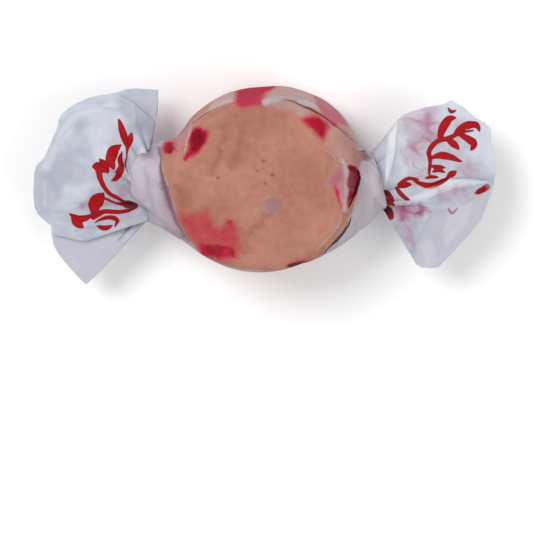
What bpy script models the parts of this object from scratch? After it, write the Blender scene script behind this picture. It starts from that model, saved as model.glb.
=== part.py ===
"""A salt water taffy in its twisted wax paper, lying flat with its round face up.

Two pieces: the taffy itself, a thick round of chewy candy, and the wrapper, one sheet of
paper rolled round it into a tube, gathered into a twisted neck at each end and flared out
again into a flattened tail. Metres, +Z up. The origin is the centre of the flat underside.
X runs along the tube from the left tail to the right tail, and Y points to the side of the
disc that was uppermost when it stood on its edge.
"""

import math

import bmesh
import bpy
from mathutils import Vector

MM = 0.001

# The wrapped disc, measured over the paper. It is a little longer along X than across it
wrap_radius = 11.6 * MM
disc_stretch = 1.04
wrap_height = 15.0 * MM
axis_height = wrap_height / 2
edge_round = 1.5 * MM
top_crown = 0.25 * MM
paper_wall = 0.35 * MM
fit_gap = 0.4 * MM
candy_round = 2.0 * MM
candy_sides = 48
weld_distance = 0.01 * MM
# How far inside the disc's outline the paper leaves its faces, as a share of edge_round
leave_inset = 0.2

# The paper's grid: columns run round the tube in pleats, and rows run along it
pleat_count = 11
columns_per_pleat = 6
column_count = pleat_count * columns_per_pleat
body_stations = (-1.0, -0.94, -0.82, -0.5, 0.0, 0.5, 0.82, 0.94, 1.0)
cone_stations = (0.2, 0.4, 0.6, 0.8)
neck_stations = (0.0, 0.5, 1.0)
fan_stations = (0.08, 0.2, 0.36, 0.54, 0.76, 1.0)
# The pleats as shares of the neck's half sizes: deepest in the middle of the neck
pleat_crest = 1.22
pleat_depth = 0.45
waist_depth = 0.72
pleat_unevenness = 0.07
uneven_phase = 2.4
# How the pleats differ in width round the tube: (size in turns, waves round it, phase)
width_waves = ((0.009, 3, 0.8), (0.006, 5, 2.1))
# The share of the twist that is already made where the cone meets the neck
cone_twist = 0.45
# Over 1, the cone turns mostly near the neck, and the tail flattens soon after it
cone_speed = 2.4
flatten_speed = 1.5

# Each end of the wrapper. side is -1 on the left and 1 on the right. The neck runs from
# neck_start to neck_end along X, neck_half_y and neck_half_z are its half sizes, and
# neck_slant is how much farther out its lower side lies than its upper side.
# front and back are the cut edges of the tail's two layers, from the fold at its top to the
# fold at its bottom, as (x, y, lift) in mm, where lift is the height over the neck's axis.
left_end = {
    "side": -1,
    "neck_start": 14.1 * MM,
    "neck_end": 15.7 * MM,
    "neck_half_y": 4.1 * MM,
    "neck_half_z": 3.1 * MM,
    "neck_centre_y": -0.6 * MM,
    "neck_slant": 0.2 * MM,
    "twist_degrees": 130.0,
    "wave": 0.9 * MM,
    "wave_count": 2.6,
    "wave_phase": 0.7,
    "front": (
        (-13.6, 7.4, 0.0), (-16.3, 10.0, 0.9), (-18.5, 11.2, 0.8), (-21.4, 11.0, 0.8),
        (-25.5, 8.8, 0.8), (-26.8, 5.5, 0.9), (-28.9, 1.8, 1.0), (-29.5, -1.6, 0.9),
        (-29.2, -3.8, 0.8), (-27.2, -6.0, 0.8), (-25.6, -7.5, 0.8), (-22.8, -8.2, 0.9),
        (-19.6, -7.2, 0.8), (-16.6, -6.0, 0.0),
    ),
    "back": (
        (-13.6, 7.4, 0.0), (-13.2, 9.2, -0.7), (-13.2, 11.6, -0.9), (-15.9, 11.8, -0.8),
        (-18.5, 11.4, -0.7), (-22.4, 10.7, -0.7), (-25.6, 8.7, -0.7), (-28.1, 2.6, -0.6),
        (-29.1, -1.3, -0.6), (-28.4, -4.7, -0.6), (-27.2, -6.4, -0.6), (-27.3, -7.6, -0.6),
        (-26.4, -9.9, -0.7), (-22.9, -13.9, -0.8), (-20.2, -10.8, -0.8), (-16.6, -6.0, 0.0),
    ),
}
right_end = {
    "side": 1,
    "neck_start": 14.2 * MM,
    "neck_end": 15.8 * MM,
    "neck_half_y": 3.3 * MM,
    "neck_half_z": 2.9 * MM,
    "neck_centre_y": -0.2 * MM,
    "neck_slant": 0.8 * MM,
    "twist_degrees": 130.0,
    "wave": 0.8 * MM,
    "wave_count": 3.1,
    "wave_phase": 0.7,
    "front": (
        (18.4, 8.4, 0.0), (21.1, 9.5, 0.8), (23.4, 9.9, 0.8), (24.7, 10.5, 0.8),
        (26.3, 9.6, 0.9), (29.8, 6.9, 0.8), (29.9, 4.8, 0.8), (30.6, 2.6, 0.9),
        (30.6, 0.9, 1.4), (30.0, -1.3, 1.8), (28.7, -5.2, 1.0), (25.4, -9.2, 0.9),
        (23.3, -11.4, 0.9), (21.1, -11.5, 0.8), (19.9, -10.1, 0.0),
    ),
    "back": (
        (18.4, 8.4, 0.0), (21.3, 8.9, -0.8), (24.6, 9.8, -0.8), (29.2, 6.6, -0.7),
        (29.4, 4.6, -0.7), (30.0, 1.0, -0.7), (28.2, -4.9, -0.7), (24.9, -8.8, -0.7),
        (22.9, -10.9, -0.7), (21.3, -11.0, -0.7), (19.9, -10.1, 0.0),
    ),
}


def clear_scene():
    for old in list(bpy.data.objects):
        bpy.data.objects.remove(old)


def new_collection(name):
    collection = bpy.data.collections.new(name)
    bpy.context.scene.collection.children.link(collection)
    return collection


def new_material(name, colour, roughness):
    material = bpy.data.materials.new(name)
    material.use_nodes = True
    shader = material.node_tree.nodes["Principled BSDF"]
    shader.inputs["Base Color"].default_value = (*colour, 1.0)
    shader.inputs["Roughness"].default_value = roughness
    shader.inputs["Metallic"].default_value = 0.0
    return material


def add_object(name, collection, material):
    """An object at the origin with an empty mesh, ready to be filled from a bmesh."""
    mesh = bpy.data.meshes.new(name)
    piece = bpy.data.objects.new(name, mesh)
    mesh.materials.append(material)
    collection.objects.link(piece)
    return piece


def blend(start, end, share):
    return start + (end - start) * share


def edge_drop(reach):
    """How far the disc's face has rounded down at this distance from its centre."""
    past = min(max(0.0, reach - (wrap_radius - edge_round)), edge_round)
    return edge_round - math.sqrt(edge_round**2 - past**2)


def section_point(turn):
    """The disc's side-on outline, a rounded rectangle walked at even speed from the middle of
    its +Y wall, up and over. Returns its y and z as shares of the half width and half height."""
    wall = axis_height - edge_round
    corner = math.pi / 2 * edge_round
    face = wrap_radius - edge_round
    quarter = (turn % 1.0) * 4
    way = quarter % 1.0
    mirrored = int(quarter) % 2 == 1
    walked = (1.0 - way if mirrored else way) * (wall + corner + face)
    if walked < wall:
        y, z = wrap_radius, walked
    elif walked < wall + corner:
        angle = (walked - wall) / edge_round
        y = face + edge_round * math.cos(angle)
        z = wall + edge_round * math.sin(angle)
    else:
        y, z = face - (walked - wall - corner), axis_height
    y_sign = -1 if 1.0 <= quarter < 3.0 else 1
    z_sign = -1 if quarter >= 2.0 else 1
    return y_sign * y / wrap_radius, z_sign * z / axis_height


def tangent_point(end):
    """Where the straight line from the neck's shoulder touches the disc's outline, as (x, y)
    before the disc is stretched."""
    start_x = end["neck_start"] / disc_stretch
    reach = math.hypot(start_x, end["neck_half_y"])
    lean = math.atan2(start_x, end["neck_half_y"]) - math.acos(wrap_radius / reach)
    return wrap_radius * math.sin(lean), wrap_radius * math.cos(lean)


def body_point(end, turn, share):
    """A point of the paper that lies on the disc. share is 0 at the middle and 1 where the
    paper leaves the disc for this end's neck."""
    y_share, z_share = section_point(turn)
    tangent_x, tangent_y = tangent_point(end)
    leave_radius = wrap_radius - leave_inset * edge_round * (1.0 - y_share**4)
    leave_x = math.sqrt(leave_radius**2 - (y_share * tangent_y) ** 2)
    x = share * leave_x
    y = y_share * math.sqrt(wrap_radius**2 - (share * tangent_x) ** 2)
    z = z_share * axis_height
    limit = axis_height - edge_drop(math.hypot(x, y))
    if abs(z) > limit and abs(y_share) < 1.0 - edge_round / wrap_radius:
        z = math.copysign(limit, z)
    if z > 0:
        z += top_crown * z_share * (1.0 - (math.hypot(x, y) / wrap_radius) ** 2)
    return Vector((end["side"] * x * disc_stretch, y, axis_height + z))


def pleat_reach(column, depth):
    """How far from the axis a column lies, as a share of the neck's half size: pleat_crest on
    the crests, and lower by depth in the valleys. Each pleat has its own height."""
    pleat, place = divmod(column, columns_per_pleat)
    half = columns_per_pleat / 2
    below_crest = abs(place - half) / half
    height = pleat_crest + pleat_unevenness * math.sin(uneven_phase * pleat)
    return height - depth * below_crest


def column_turn(column):
    """Where a column lies round the tube, in turns. The pleats differ in width."""
    even = column / column_count
    shifts = [size * math.sin(2 * math.pi * waves * even + phase)
              for size, waves, phase in width_waves]
    return even + sum(shifts)


def neck_point(end, column, share):
    """A point of the twisted neck. share is 0 on the disc's side and 1 on the tail's."""
    turned = blend(cone_twist, 1.0, share) * math.radians(end["twist_degrees"])
    angle = 2 * math.pi * column_turn(column) + end["side"] * turned
    depth = blend(pleat_depth, waist_depth, math.sin(math.pi * share))
    reach = pleat_reach(column, depth)
    along = blend(end["neck_start"], end["neck_end"], share) - end["neck_slant"] * math.cos(angle)
    y = end["neck_centre_y"] + end["neck_half_y"] * reach * math.cos(angle)
    z = axis_height + end["neck_half_z"] * reach * math.sin(angle)
    return Vector((end["side"] * along, y, z))


def cone_point(end, column, share):
    """A point of the gathered cone between the disc (share 0) and the neck (share 1)."""
    leave = body_point(end, column_turn(column), 1.0)
    leave_angle = math.atan2(leave.z - axis_height, leave.y)
    leave_reach = math.hypot(leave.z - axis_height, leave.y)
    meet = neck_point(end, column, 0.0)
    meet_y = meet.y - end["neck_centre_y"]
    meet_angle = math.atan2(meet.z - axis_height, meet_y)
    meet_reach = math.hypot(meet.z - axis_height, meet_y)
    twist = end["side"] * math.radians(end["twist_degrees"]) * cone_twist
    turned = (meet_angle - leave_angle - twist + math.pi) % (2 * math.pi) - math.pi + twist
    angle = leave_angle + turned * share**cone_speed
    reach = blend(leave_reach, meet_reach, share)
    x = blend(leave.x, meet.x, share)
    y = end["neck_centre_y"] * share + reach * math.cos(angle)
    return Vector((x, y, axis_height + reach * math.sin(angle)))


def edge_point(end, turn):
    """A point on the tail's cut edge. The first half turn walks down the front layer's edge,
    and the second half turn walks up the back layer's."""
    turn %= 1.0
    corners = end["front"] if turn < 0.5 else end["back"]
    share = 2 * turn if turn < 0.5 else 2 - 2 * turn
    points = [Vector(corner) * MM for corner in corners]
    spans = [(b - a).length for a, b in zip(points, points[1:])]
    walked = share * sum(spans)
    for start, finish, span in zip(points, points[1:], spans):
        if walked <= span:
            point = start.lerp(finish, walked / span)
            break
        walked -= span
    else:
        point = points[-1]
    return point + Vector((0.0, 0.0, axis_height))


def fan_point(end, column, share):
    """A point of the flared tail between the neck (share 0) and the cut edge (share 1)."""
    turned = end["side"] * end["twist_degrees"] / 360
    start = neck_point(end, column, 1.0)
    finish = edge_point(end, column_turn(column) + turned)
    point = start.lerp(finish, share)
    point.z = blend(start.z, finish.z, 1.0 - (1.0 - share) ** flatten_speed)
    lean = math.atan2(point.y, abs(point.x) - end["neck_start"])
    point.z += end["wave"] * share * math.sin(end["wave_count"] * lean + end["wave_phase"])
    return point


def wrapper_rows():
    """The whole sheet, row by row from the left tail's cut edge to the right tail's."""
    def ring(make, end, share):
        return [make(end, column, share) for column in range(column_count)]

    def disc_ring(station):
        end = left_end if station < 0 else right_end
        turns = [column_turn(column) for column in range(column_count)]
        return [body_point(end, turn, abs(station)) for turn in turns]

    rows = [ring(fan_point, left_end, share) for share in reversed(fan_stations)]
    rows += [ring(neck_point, left_end, share) for share in reversed(neck_stations)]
    rows += [ring(cone_point, left_end, share) for share in reversed(cone_stations)]
    rows += [disc_ring(station) for station in body_stations]
    rows += [ring(cone_point, right_end, share) for share in cone_stations]
    rows += [ring(neck_point, right_end, share) for share in neck_stations]
    rows += [ring(fan_point, right_end, share) for share in fan_stations]
    return rows


def build_wrapper(collection):
    """A flat grid of paper, rolled into the tube and given its wall by Solidify."""
    paper = new_material("waxed_paper", (0.60, 0.61, 0.66), 0.45)
    piece = add_object("wrapper", collection, paper)
    rows = wrapper_rows()
    sheet = bmesh.new()
    grid = bmesh.ops.create_grid(
        sheet, x_segments=len(rows) - 1, y_segments=column_count, size=1.0
    )
    for vertex in grid["verts"]:
        row = round((vertex.co.x + 1.0) / 2.0 * (len(rows) - 1))
        column = round((vertex.co.y + 1.0) / 2.0 * column_count) % column_count
        vertex.co = rows[row][column]
    bmesh.ops.remove_doubles(sheet, verts=sheet.verts, dist=weld_distance)
    bmesh.ops.recalc_face_normals(sheet, faces=sheet.faces)
    sheet.to_mesh(piece.data)
    sheet.free()
    wall = piece.modifiers.new("wall", "SOLIDIFY")
    wall.thickness = paper_wall
    wall.offset = -1.0
    piece.data.shade_smooth()
    return piece


def build_taffy(collection):
    """The candy: a cylinder with soft rounded rims, held inside the paper."""
    tan = new_material("taffy_candy", (0.48, 0.23, 0.17), 0.5)
    piece = add_object("taffy", collection, tan)
    inset = paper_wall + fit_gap
    puck = bmesh.new()
    bmesh.ops.create_cone(
        puck,
        cap_ends=True,
        segments=candy_sides,
        radius1=wrap_radius - inset,
        radius2=wrap_radius - inset,
        depth=wrap_height - 2 * inset,
    )
    bmesh.ops.scale(puck, vec=(disc_stretch, 1.0, 1.0), verts=puck.verts)
    bmesh.ops.translate(puck, vec=(0.0, 0.0, axis_height), verts=puck.verts)
    puck.to_mesh(piece.data)
    puck.free()
    rims = piece.modifiers.new("soft_rims", "BEVEL")
    rims.width = candy_round
    rims.segments = 4
    rims.limit_method = "ANGLE"
    rims.angle_limit = math.radians(60)
    piece.data.shade_smooth()
    piece.data.set_sharp_from_angle(angle=math.radians(40))
    return piece


def main():
    clear_scene()
    parts = new_collection("salt_water_taffy")
    build_taffy(parts)
    build_wrapper(parts)


main()
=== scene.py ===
import math

import bpy
import numpy as np
from mathutils import Matrix, Vector, noise


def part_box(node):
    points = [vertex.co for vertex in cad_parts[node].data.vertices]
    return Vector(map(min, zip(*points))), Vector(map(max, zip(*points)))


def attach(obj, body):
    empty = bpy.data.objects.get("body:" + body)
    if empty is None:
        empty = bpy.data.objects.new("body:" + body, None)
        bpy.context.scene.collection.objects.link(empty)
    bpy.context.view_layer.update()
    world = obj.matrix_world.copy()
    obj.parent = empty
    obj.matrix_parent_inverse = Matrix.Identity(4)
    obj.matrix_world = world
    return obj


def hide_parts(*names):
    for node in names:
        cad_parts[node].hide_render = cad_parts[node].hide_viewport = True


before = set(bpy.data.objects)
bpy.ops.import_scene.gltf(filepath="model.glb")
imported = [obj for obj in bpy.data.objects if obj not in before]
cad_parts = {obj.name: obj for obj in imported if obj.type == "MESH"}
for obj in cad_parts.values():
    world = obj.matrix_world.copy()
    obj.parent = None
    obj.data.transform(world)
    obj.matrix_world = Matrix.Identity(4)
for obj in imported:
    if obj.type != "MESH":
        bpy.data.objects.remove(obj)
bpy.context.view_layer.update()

mm = 0.001
farAway = 1e3           # mm, further than any two places here
crown = 0.25            # how far the shown face of the disc swells

# The sizes below are in mm, in the part's frame: X along the paper tube, Y across it, Z up.
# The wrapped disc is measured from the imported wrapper's own box.
wrapLow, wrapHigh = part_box("wrapper")
disc = {
    "radius": 11.3,
    "stretch": 1.065,       # along X
    "centreY": 0.15,
    "height": round((wrapHigh[2] - wrapLow[2]) / mm, 2) - crown,
    "edgeRound": 1.5,
    "leaveInset": 0.2,      # where the paper leaves the faces, as a share of edgeRound
    # slack paper that stands off the wall: (degrees from +Y towards +X, spread, mm)
    "slack": ((48.0, 26.0, 1.35), (16.0, 15.0, 0.4), (72.0, 14.0, 0.5), (132.0, 16.0, 0.5),
              (-118.0, 20.0, 0.3), (-36.0, 17.0, -0.4)),
    "slackFoot": (0.2, 3.0),        # it comes between these heights over the table,
    "slackHead": (0.4, -3.6),       # goes between these heights from the face
    "slackReach": (0.7, 1.0),       # and grows between these shares of the radius
}
axisZ = disc["height"] / 2

# How lines are drawn: a fade is a share of the line's length at each end
lineStyle = {
    "fade": 0.1,
    "creaseFade": 0.12,
    "farField": 20.0,           # half widths, the most that the line field counts
    "dropOff": (0.8, 0.4),      # mm from a line, where its strength goes
    "apart": (0.2, 0.5),        # mm nearer to one line than to the next, where its strength comes
    "edgeSoftness": 0.14,
}
weakestCrease = 0.3             # a crumple's faintest creases, as a share of its rise
seedSteps = (7.3, -3.1, 1.0)    # how far a seed moves the noise along each axis


def hexColor(code):
    # sRGB hex to linear
    parts = [int(code[i:i + 2], 16) / 255 for i in (1, 3, 5)]
    return (*[c / 12.92 if c <= 0.04045 else ((c + 0.055) / 1.055) ** 2.4 for c in parts], 1.0)


def addNode(tree, kind, settings=None, inputs=None):
    node = tree.nodes.new(kind)
    for name, value in (settings or {}).items():
        setattr(node, name, value)
    for socket, value in (inputs or {}).items():
        if isinstance(value, bpy.types.NodeSocket):
            tree.links.new(value, node.inputs[socket])
        else:
            node.inputs[socket].default_value = value
    return node


def newMaterial(name):
    material = bpy.data.materials.new(name)
    material.use_nodes = True
    material.node_tree.nodes.clear()
    return material, material.node_tree


def smooth(low, high, value):
    share = np.clip((value - low) / (high - low), 0.0, 1.0)
    return share * share * (3.0 - 2.0 * share)


def blend(first, second, share):
    return first + (second - first) * share


def fadeEnds(along, share):
    return smooth(0.0, share, along) * smooth(1.0, 1.0 - share, along)


def ripple(x, y, z, waves):
    # Blender's own noise, as a sum of waves: (height, size in mm, seed)
    total = np.zeros(x.shape)
    for height, size, seed in waves:
        spots = np.stack([place / size + seed * step for place, step in zip((x, y, z), seedSteps)], axis=-1)
        values = [noise.noise(Vector(spot)) for spot in spots.reshape(-1, 3).tolist()]
        total += height * np.array(values).reshape(x.shape)
    return total


def lineDistance(x, y, points):
    # distance from each place to a line through the points, how far along it that is, and the side
    best = np.full(x.shape, farAway)
    along = np.zeros(x.shape)
    side = np.zeros(x.shape)
    for place, (first, second) in enumerate(zip(points, points[1:])):
        stepX, stepY = second[0] - first[0], second[1] - first[1]
        length = stepX * stepX + stepY * stepY
        share = np.clip(((x - first[0]) * stepX + (y - first[1]) * stepY) / length, 0.0, 1.0)
        gapX, gapY = x - first[0] - share * stepX, y - first[1] - share * stepY
        gap = np.hypot(gapX, gapY)
        nearer = gap < best
        best = np.where(nearer, gap, best)
        along = np.where(nearer, (place + share) / (len(points) - 1), along)
        side = np.where(nearer, np.sign(stepX * gapY - stepY * gapX), side)
    return best, along, side


def regionDistance(x, y, corners):
    # distance to a closed outline, under 0 inside it
    inside = np.zeros(x.shape, dtype=bool)
    best = np.full(x.shape, farAway)
    for (x1, y1), (x2, y2) in zip(corners, corners[1:] + corners[:1]):
        stepX, stepY = x2 - x1, y2 - y1
        share = np.clip(((x - x1) * stepX + (y - y1) * stepY) / (stepX ** 2 + stepY ** 2), 0.0, 1.0)
        best = np.minimum(best, np.hypot(x - x1 - share * stepX, y - y1 - share * stepY))
        if y1 != y2:
            inside ^= ((y1 > y) != (y2 > y)) & (x < x1 + (y - y1) * stepX / stepY)
    return np.where(inside, -best, best)


def smoothLine(points, steps=6):
    # a curve through the points
    line = []
    ends = [points[0], *points, points[-1]]
    for before, first, second, after in zip(ends, ends[1:], ends[2:], ends[3:]):
        for step in range(steps):
            t = step / steps
            line.append(tuple(0.5 * (2 * b + (c - a) * t + (2 * a - 5 * b + 4 * c - d) * t ** 2
                                     + (3 * b - a - 3 * c + d) * t ** 3)
                              for a, b, c, d in zip(before, first, second, after)))
    return line + [points[-1]]


def painted(x, y, patches):
    # how much each place is covered, 0 to 1, by outlines given as (corners, softness, strength)
    amount = np.zeros(x.shape)
    for corners, softness, strength in patches:
        amount = np.maximum(amount, strength * smooth(softness, -softness, regionDistance(x, y, corners)))
    return amount


def drawn(x, y, lines):
    # the same for lines, given as (points, half width, softness, strength)
    amount = np.zeros(x.shape)
    for points, halfWidth, softness, strength in lines:
        gap, along = lineDistance(x, y, smoothLine(points))[:2]
        cover = fadeEnds(along, lineStyle["fade"]) * smooth(halfWidth + softness, halfWidth - softness, gap)
        amount = np.maximum(amount, strength * cover)
    return amount


def strokeWidth(along, start, middle, end):
    return blend(np.where(along < 0.5, start, end), middle, np.sin(math.pi * along))


def lineField(x, y, lines):
    # signed distance to the nearest line as a share of its half width, and that line's strength
    best = np.full(x.shape, farAway)
    second = np.full(x.shape, farAway)
    field = np.full(x.shape, lineStyle["farField"])
    power = np.zeros(x.shape)
    for points, widths, strength in lines:
        gap, along, side = lineDistance(x, y, smoothLine(points))
        nearer = gap < best
        second = np.where(nearer, best, np.minimum(second, gap))
        best = np.where(nearer, gap, best)
        share = np.minimum(2 * gap / strokeWidth(along, *widths), lineStyle["farField"])
        field = np.where(nearer, share * np.where(side < 0, -1.0, 1.0), field)
        fade = fadeEnds(along, lineStyle["creaseFade"]) * smooth(*lineStyle["dropOff"], gap)
        power = np.where(nearer, strength * fade, power)
    # halfway between two lines the sign changes, so the strength fades out there
    return field, power * smooth(*lineStyle["apart"], second - best)


def creased(x, y, creases):
    # sharp folds: each is a line, its height in mm and how wide it spreads
    height = np.zeros(x.shape)
    for points, rise, width in creases:
        gap, along = lineDistance(x, y, smoothLine(points))[:2]
        height += rise * np.exp(-gap / width) * fadeEnds(along, lineStyle["creaseFade"])
    return height


def stepped(x, y, steps):
    # an edge of paper that lies on paper: the left of the line stands higher and falls off over width
    height = np.zeros(x.shape)
    softness = lineStyle["edgeSoftness"]
    for points, rise, width in steps:
        gap, along, side = lineDistance(x, y, smoothLine(points))
        over = smooth(-softness, softness, gap * side) * rise * np.exp(-gap / width)
        height += over * fadeEnds(along, lineStyle["fade"])
    return height


def crumpled(x, y, settings):
    # many short straight creases, as paper takes when it is handled
    draw = np.random.default_rng(settings["seed"])
    height = np.zeros(x.shape)
    for _ in range(settings["count"]):
        spotX = draw.uniform(*settings["rangeX"])
        spotY = draw.uniform(*settings["rangeY"])
        turn = draw.uniform(0.0, math.pi)
        reach = draw.uniform(*settings["length"])
        width = draw.uniform(*settings["width"])
        rise = draw.uniform(weakestCrease, 1.0) * settings["rise"] * draw.choice([-1.0, 1.0])
        alongLine = (x - spotX) * math.cos(turn) + (y - spotY) * math.sin(turn)
        acrossLine = -(x - spotX) * math.sin(turn) + (y - spotY) * math.cos(turn)
        height += rise * np.exp(-np.abs(acrossLine) / width) * np.exp(-((alongLine / reach) ** 2))
    return height


# The two ends. The neck is the twist, the cuff is paper that bulges out over it, and front and
# back are the cut edges of the tail's layers from its top fold to its bottom fold: (x, y, lift).
leftEnd = {
    "side": -1,
    "neckX": 14.4,
    "neckHalfY": 4.3,
    "neckHalfZ": 2.3,
    "neckY": -0.6,
    "slant": 0.2,           # the +Y side of the neck is this much nearer to the disc
    "leaveTop": 47.0,       # degrees from +Y, and then from -Y, where the paper leaves the disc
    "leaveBottom": 35.0,
    "easeTop": 0.7,         # under 1, the cone narrows early
    "easeFront": 0.8,
    "easeBottom": 1.15,
    "twist": 130.0,
    "gather": 0.6,          # how far the twist's front and back slide towards -Y
    "cuffRise": (6.0, 50.0),        # degrees from the +Y side over the front
    "cuffFall": (95.0, 134.0),
    "cuffOut": 2.2,
    "cuffLift": 1.5,
    "wave": 0.7,
    "waveCount": 2.6,
    "front": (
        (-13.6, 7.4, 0.0), (-14.9, 8.7, 0.3), (-16.5, 10.1, 0.5), (-18.5, 11.3, 0.6), (-20.0, 11.2, 0.6),
        (-21.2, 11.0, 0.5), (-22.4, 10.7, 0.5), (-23.7, 10.1, 0.4), (-24.7, 9.5, 0.4), (-25.5, 8.8, 0.4),
        (-26.0, 8.0, 0.4), (-26.0, 7.2, 0.4), (-26.4, 6.4, 0.5), (-26.8, 5.4, 0.5), (-27.4, 4.2, 0.6),
        (-27.8, 3.2, 0.6), (-28.9, 2.1, 0.7), (-29.2, 1.2, 0.7), (-29.3, 0.0, 0.6), (-29.4, -1.6, 0.6),
        (-29.3, -3.5, 0.5), (-28.9, -4.4, 0.5), (-28.1, -5.2, 0.5), (-27.2, -6.0, 0.4),
        (-27.2, -7.2, 0.35), (-25.7, -7.5, 0.35), (-24.3, -7.9, 0.35), (-22.8, -8.1, 0.35),
        (-21.0, -7.5, 0.35), (-19.5, -6.9, 0.35), (-17.8, -6.4, 0.3), (-16.6, -6.0, 0.0),
    ),
    "back": (
        (-13.6, 7.4, 0.0), (-13.3, 9.0, -0.4), (-13.2, 11.6, -0.5), (-14.3, 11.7, -0.5),
        (-15.9, 11.85, -0.5), (-17.3, 11.75, -0.5), (-18.7, 11.3, -0.4), (-22.4, 10.6, -0.3),
        (-25.4, 8.7, -0.3), (-28.1, 2.6, -0.2), (-28.9, -1.3, -0.2), (-28.4, -4.7, -0.3),
        (-27.0, -6.1, -0.3), (-27.2, -7.5, -0.3), (-27.0, -8.7, -0.3), (-26.4, -9.9, -0.4),
        (-25.5, -11.1, -0.4), (-24.5, -12.3, -0.4), (-23.3, -13.6, -0.5), (-22.8, -14.0, -0.5),
        (-21.8, -13.0, -0.4), (-20.6, -11.6, -0.4), (-19.3, -9.9, -0.4), (-18.0, -8.0, -0.3),
        (-16.6, -6.0, 0.0),
    ),
}
rightEnd = {
    "side": 1,
    "neckX": 15.1,
    "neckHalfY": 3.25,
    "neckHalfZ": 2.1,
    "neckY": -0.15,
    "slant": 0.9,
    "leaveTop": 73.0,
    "leaveBottom": 27.0,
    "easeTop": 0.45,
    "easeFront": 0.7,
    "easeBottom": 1.65,
    "twist": 130.0,
    "gather": 0.9,
    "cuffRise": (28.0, 85.0),
    "cuffFall": (130.0, 180.0),
    "cuffOut": 0.6,
    "cuffLift": 1.3,
    "wave": 0.6,
    "waveCount": 3.1,
    "front": (
        (17.6, 7.4, 0.0), (18.7, 8.6, 0.4), (20.0, 9.1, 0.5), (21.1, 9.5, 0.5), (23.4, 9.9, 0.5),
        (24.7, 10.5, 0.5), (26.3, 9.6, 0.5), (27.8, 8.3, 0.5), (29.0, 7.6, 0.5), (29.8, 6.9, 0.5),
        (29.9, 4.8, 0.5), (30.3, 3.2, 0.5), (30.6, 1.6, 0.4), (30.3, -0.6, 0.2), (28.9, -4.6, 0.1),
        (26.6, -3.0, 0.5), (24.4, 0.3, 0.8), (27.3, 0.35, 1.1), (29.8, 0.05, 1.1), (30.3, -0.3, 1.0),
        (30.0, -1.5, 1.0), (29.4, -3.2, 0.9), (28.7, -5.2, 0.9), (27.4, -6.9, 0.8), (25.4, -9.2, 0.7),
        (23.3, -11.5, 0.6), (22.1, -11.6, 0.5), (21.1, -11.5, 0.4), (20.5, -11.1, 0.3), (19.9, -10.1, 0.0),
    ),
    "back": (
        (17.6, 7.4, 0.0), (19.2, 8.5, -0.4), (21.3, 9.2, -0.4), (24.6, 10.1, -0.4), (29.2, 6.8, -0.4),
        (29.4, 4.6, -0.4), (30.1, 1.0, -0.4), (28.2, -4.9, -0.3), (24.9, -8.9, -0.3),
        (22.9, -11.1, -0.3), (21.3, -11.2, -0.3), (19.9, -10.1, 0.0),
    ),
}
pleats = {
    "count": 13,
    "crest": 1.1,           # reach of a crest and depth of a valley, as shares of the neck's half sizes
    "depth": 0.42,
    "atCuff": 0.14,         # the share of that depth at the cuff
    "waist": 0.62,          # the depth at the twist
    "sharpness": 0.75,
    "warp": ((0.22, 2, 1.0), (0.14, 3, 2.2)),       # uneven widths: (size, waves round the neck, phase)
    "sway": (0.25, 2.0, 0.4),                       # uneven depths, the same way
    "cuffTwist": 0.4,       # the share of the twist that is done at the cuff
    "cuffSpread": 0.25,     # mm that the cuff stands out across the tube
    "backCuff": 0.55,       # the cuff on the hidden side, as a share of the shown one
    "backSpread": 0.8,
    "lateTurn": 2.2,        # over 1, the cone turns mostly near the cuff
}


def sectionShares(turn):
    # the disc's outline seen from the side, walked at even speed from its +Y wall up and over
    wall = axisZ - disc["edgeRound"]
    corner = math.pi / 2 * disc["edgeRound"]
    face = disc["radius"] - disc["edgeRound"]
    quarter = (turn % 1.0) * 4
    way = quarter % 1.0
    walked = np.where(quarter.astype(int) % 2 == 1, 1.0 - way, way) * (wall + corner + face)
    angle = np.clip((walked - wall) / disc["edgeRound"], 0.0, math.pi / 2)
    y = np.where(walked < wall + corner, face + disc["edgeRound"] * np.cos(angle),
                 face - (walked - wall - corner))
    z = np.where(walked < wall, walked, wall + disc["edgeRound"] * np.sin(angle))
    y *= np.where((quarter >= 1.0) & (quarter < 3.0), -1, 1)
    z *= np.where(quarter >= 2.0, -1, 1)
    return y / disc["radius"], z / axisZ


def slackAt(x, y, z):
    # how far the paper stands off the wall there
    angle = np.degrees(np.arctan2(x, y))
    push = sum(size * np.exp(-((angle - centre) / spread) ** 2) for centre, spread, size in disc["slack"])
    onWall = smooth(*disc["slackFoot"], z) * smooth(*disc["slackHead"], z - disc["height"])
    return push * onWall * smooth(*disc["slackReach"], np.hypot(x, y) / disc["radius"])


def bodyPlace(end, turn, share):
    # a place on the disc's paper, from its middle (share 0) to where it leaves the disc (share 1)
    yShare, zShare = sectionShares(turn)
    leave = np.radians(np.where(yShare > 0, end["leaveTop"], end["leaveBottom"]))
    tangentX, tangentY = disc["radius"] * np.sin(leave), disc["radius"] * np.cos(leave)
    leaveRadius = disc["radius"] - disc["leaveInset"] * disc["edgeRound"] * (1.0 - yShare ** 4)
    x = share * np.sqrt(leaveRadius ** 2 - (yShare * tangentY) ** 2)
    y = yShare * np.sqrt(disc["radius"] ** 2 - (share * tangentX) ** 2)
    z = zShare * axisZ
    reach = np.hypot(x, y)
    past = np.clip(reach - (disc["radius"] - disc["edgeRound"]), 0.0, disc["edgeRound"])
    limit = axisZ - disc["edgeRound"] + np.sqrt(disc["edgeRound"] ** 2 - past ** 2)
    z = np.clip(z, -limit, limit)
    z = z + np.where(z > 0, crown * zShare * (1.0 - (reach / disc["radius"]) ** 2), 0.0)
    swell = 1.0 + slackAt(end["side"] * x, y, axisZ + z) / disc["radius"]
    alongX = end["side"] * x * swell * disc["stretch"]
    return np.stack([alongX, y * swell + disc["centreY"], axisZ + z], axis=-1)


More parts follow.
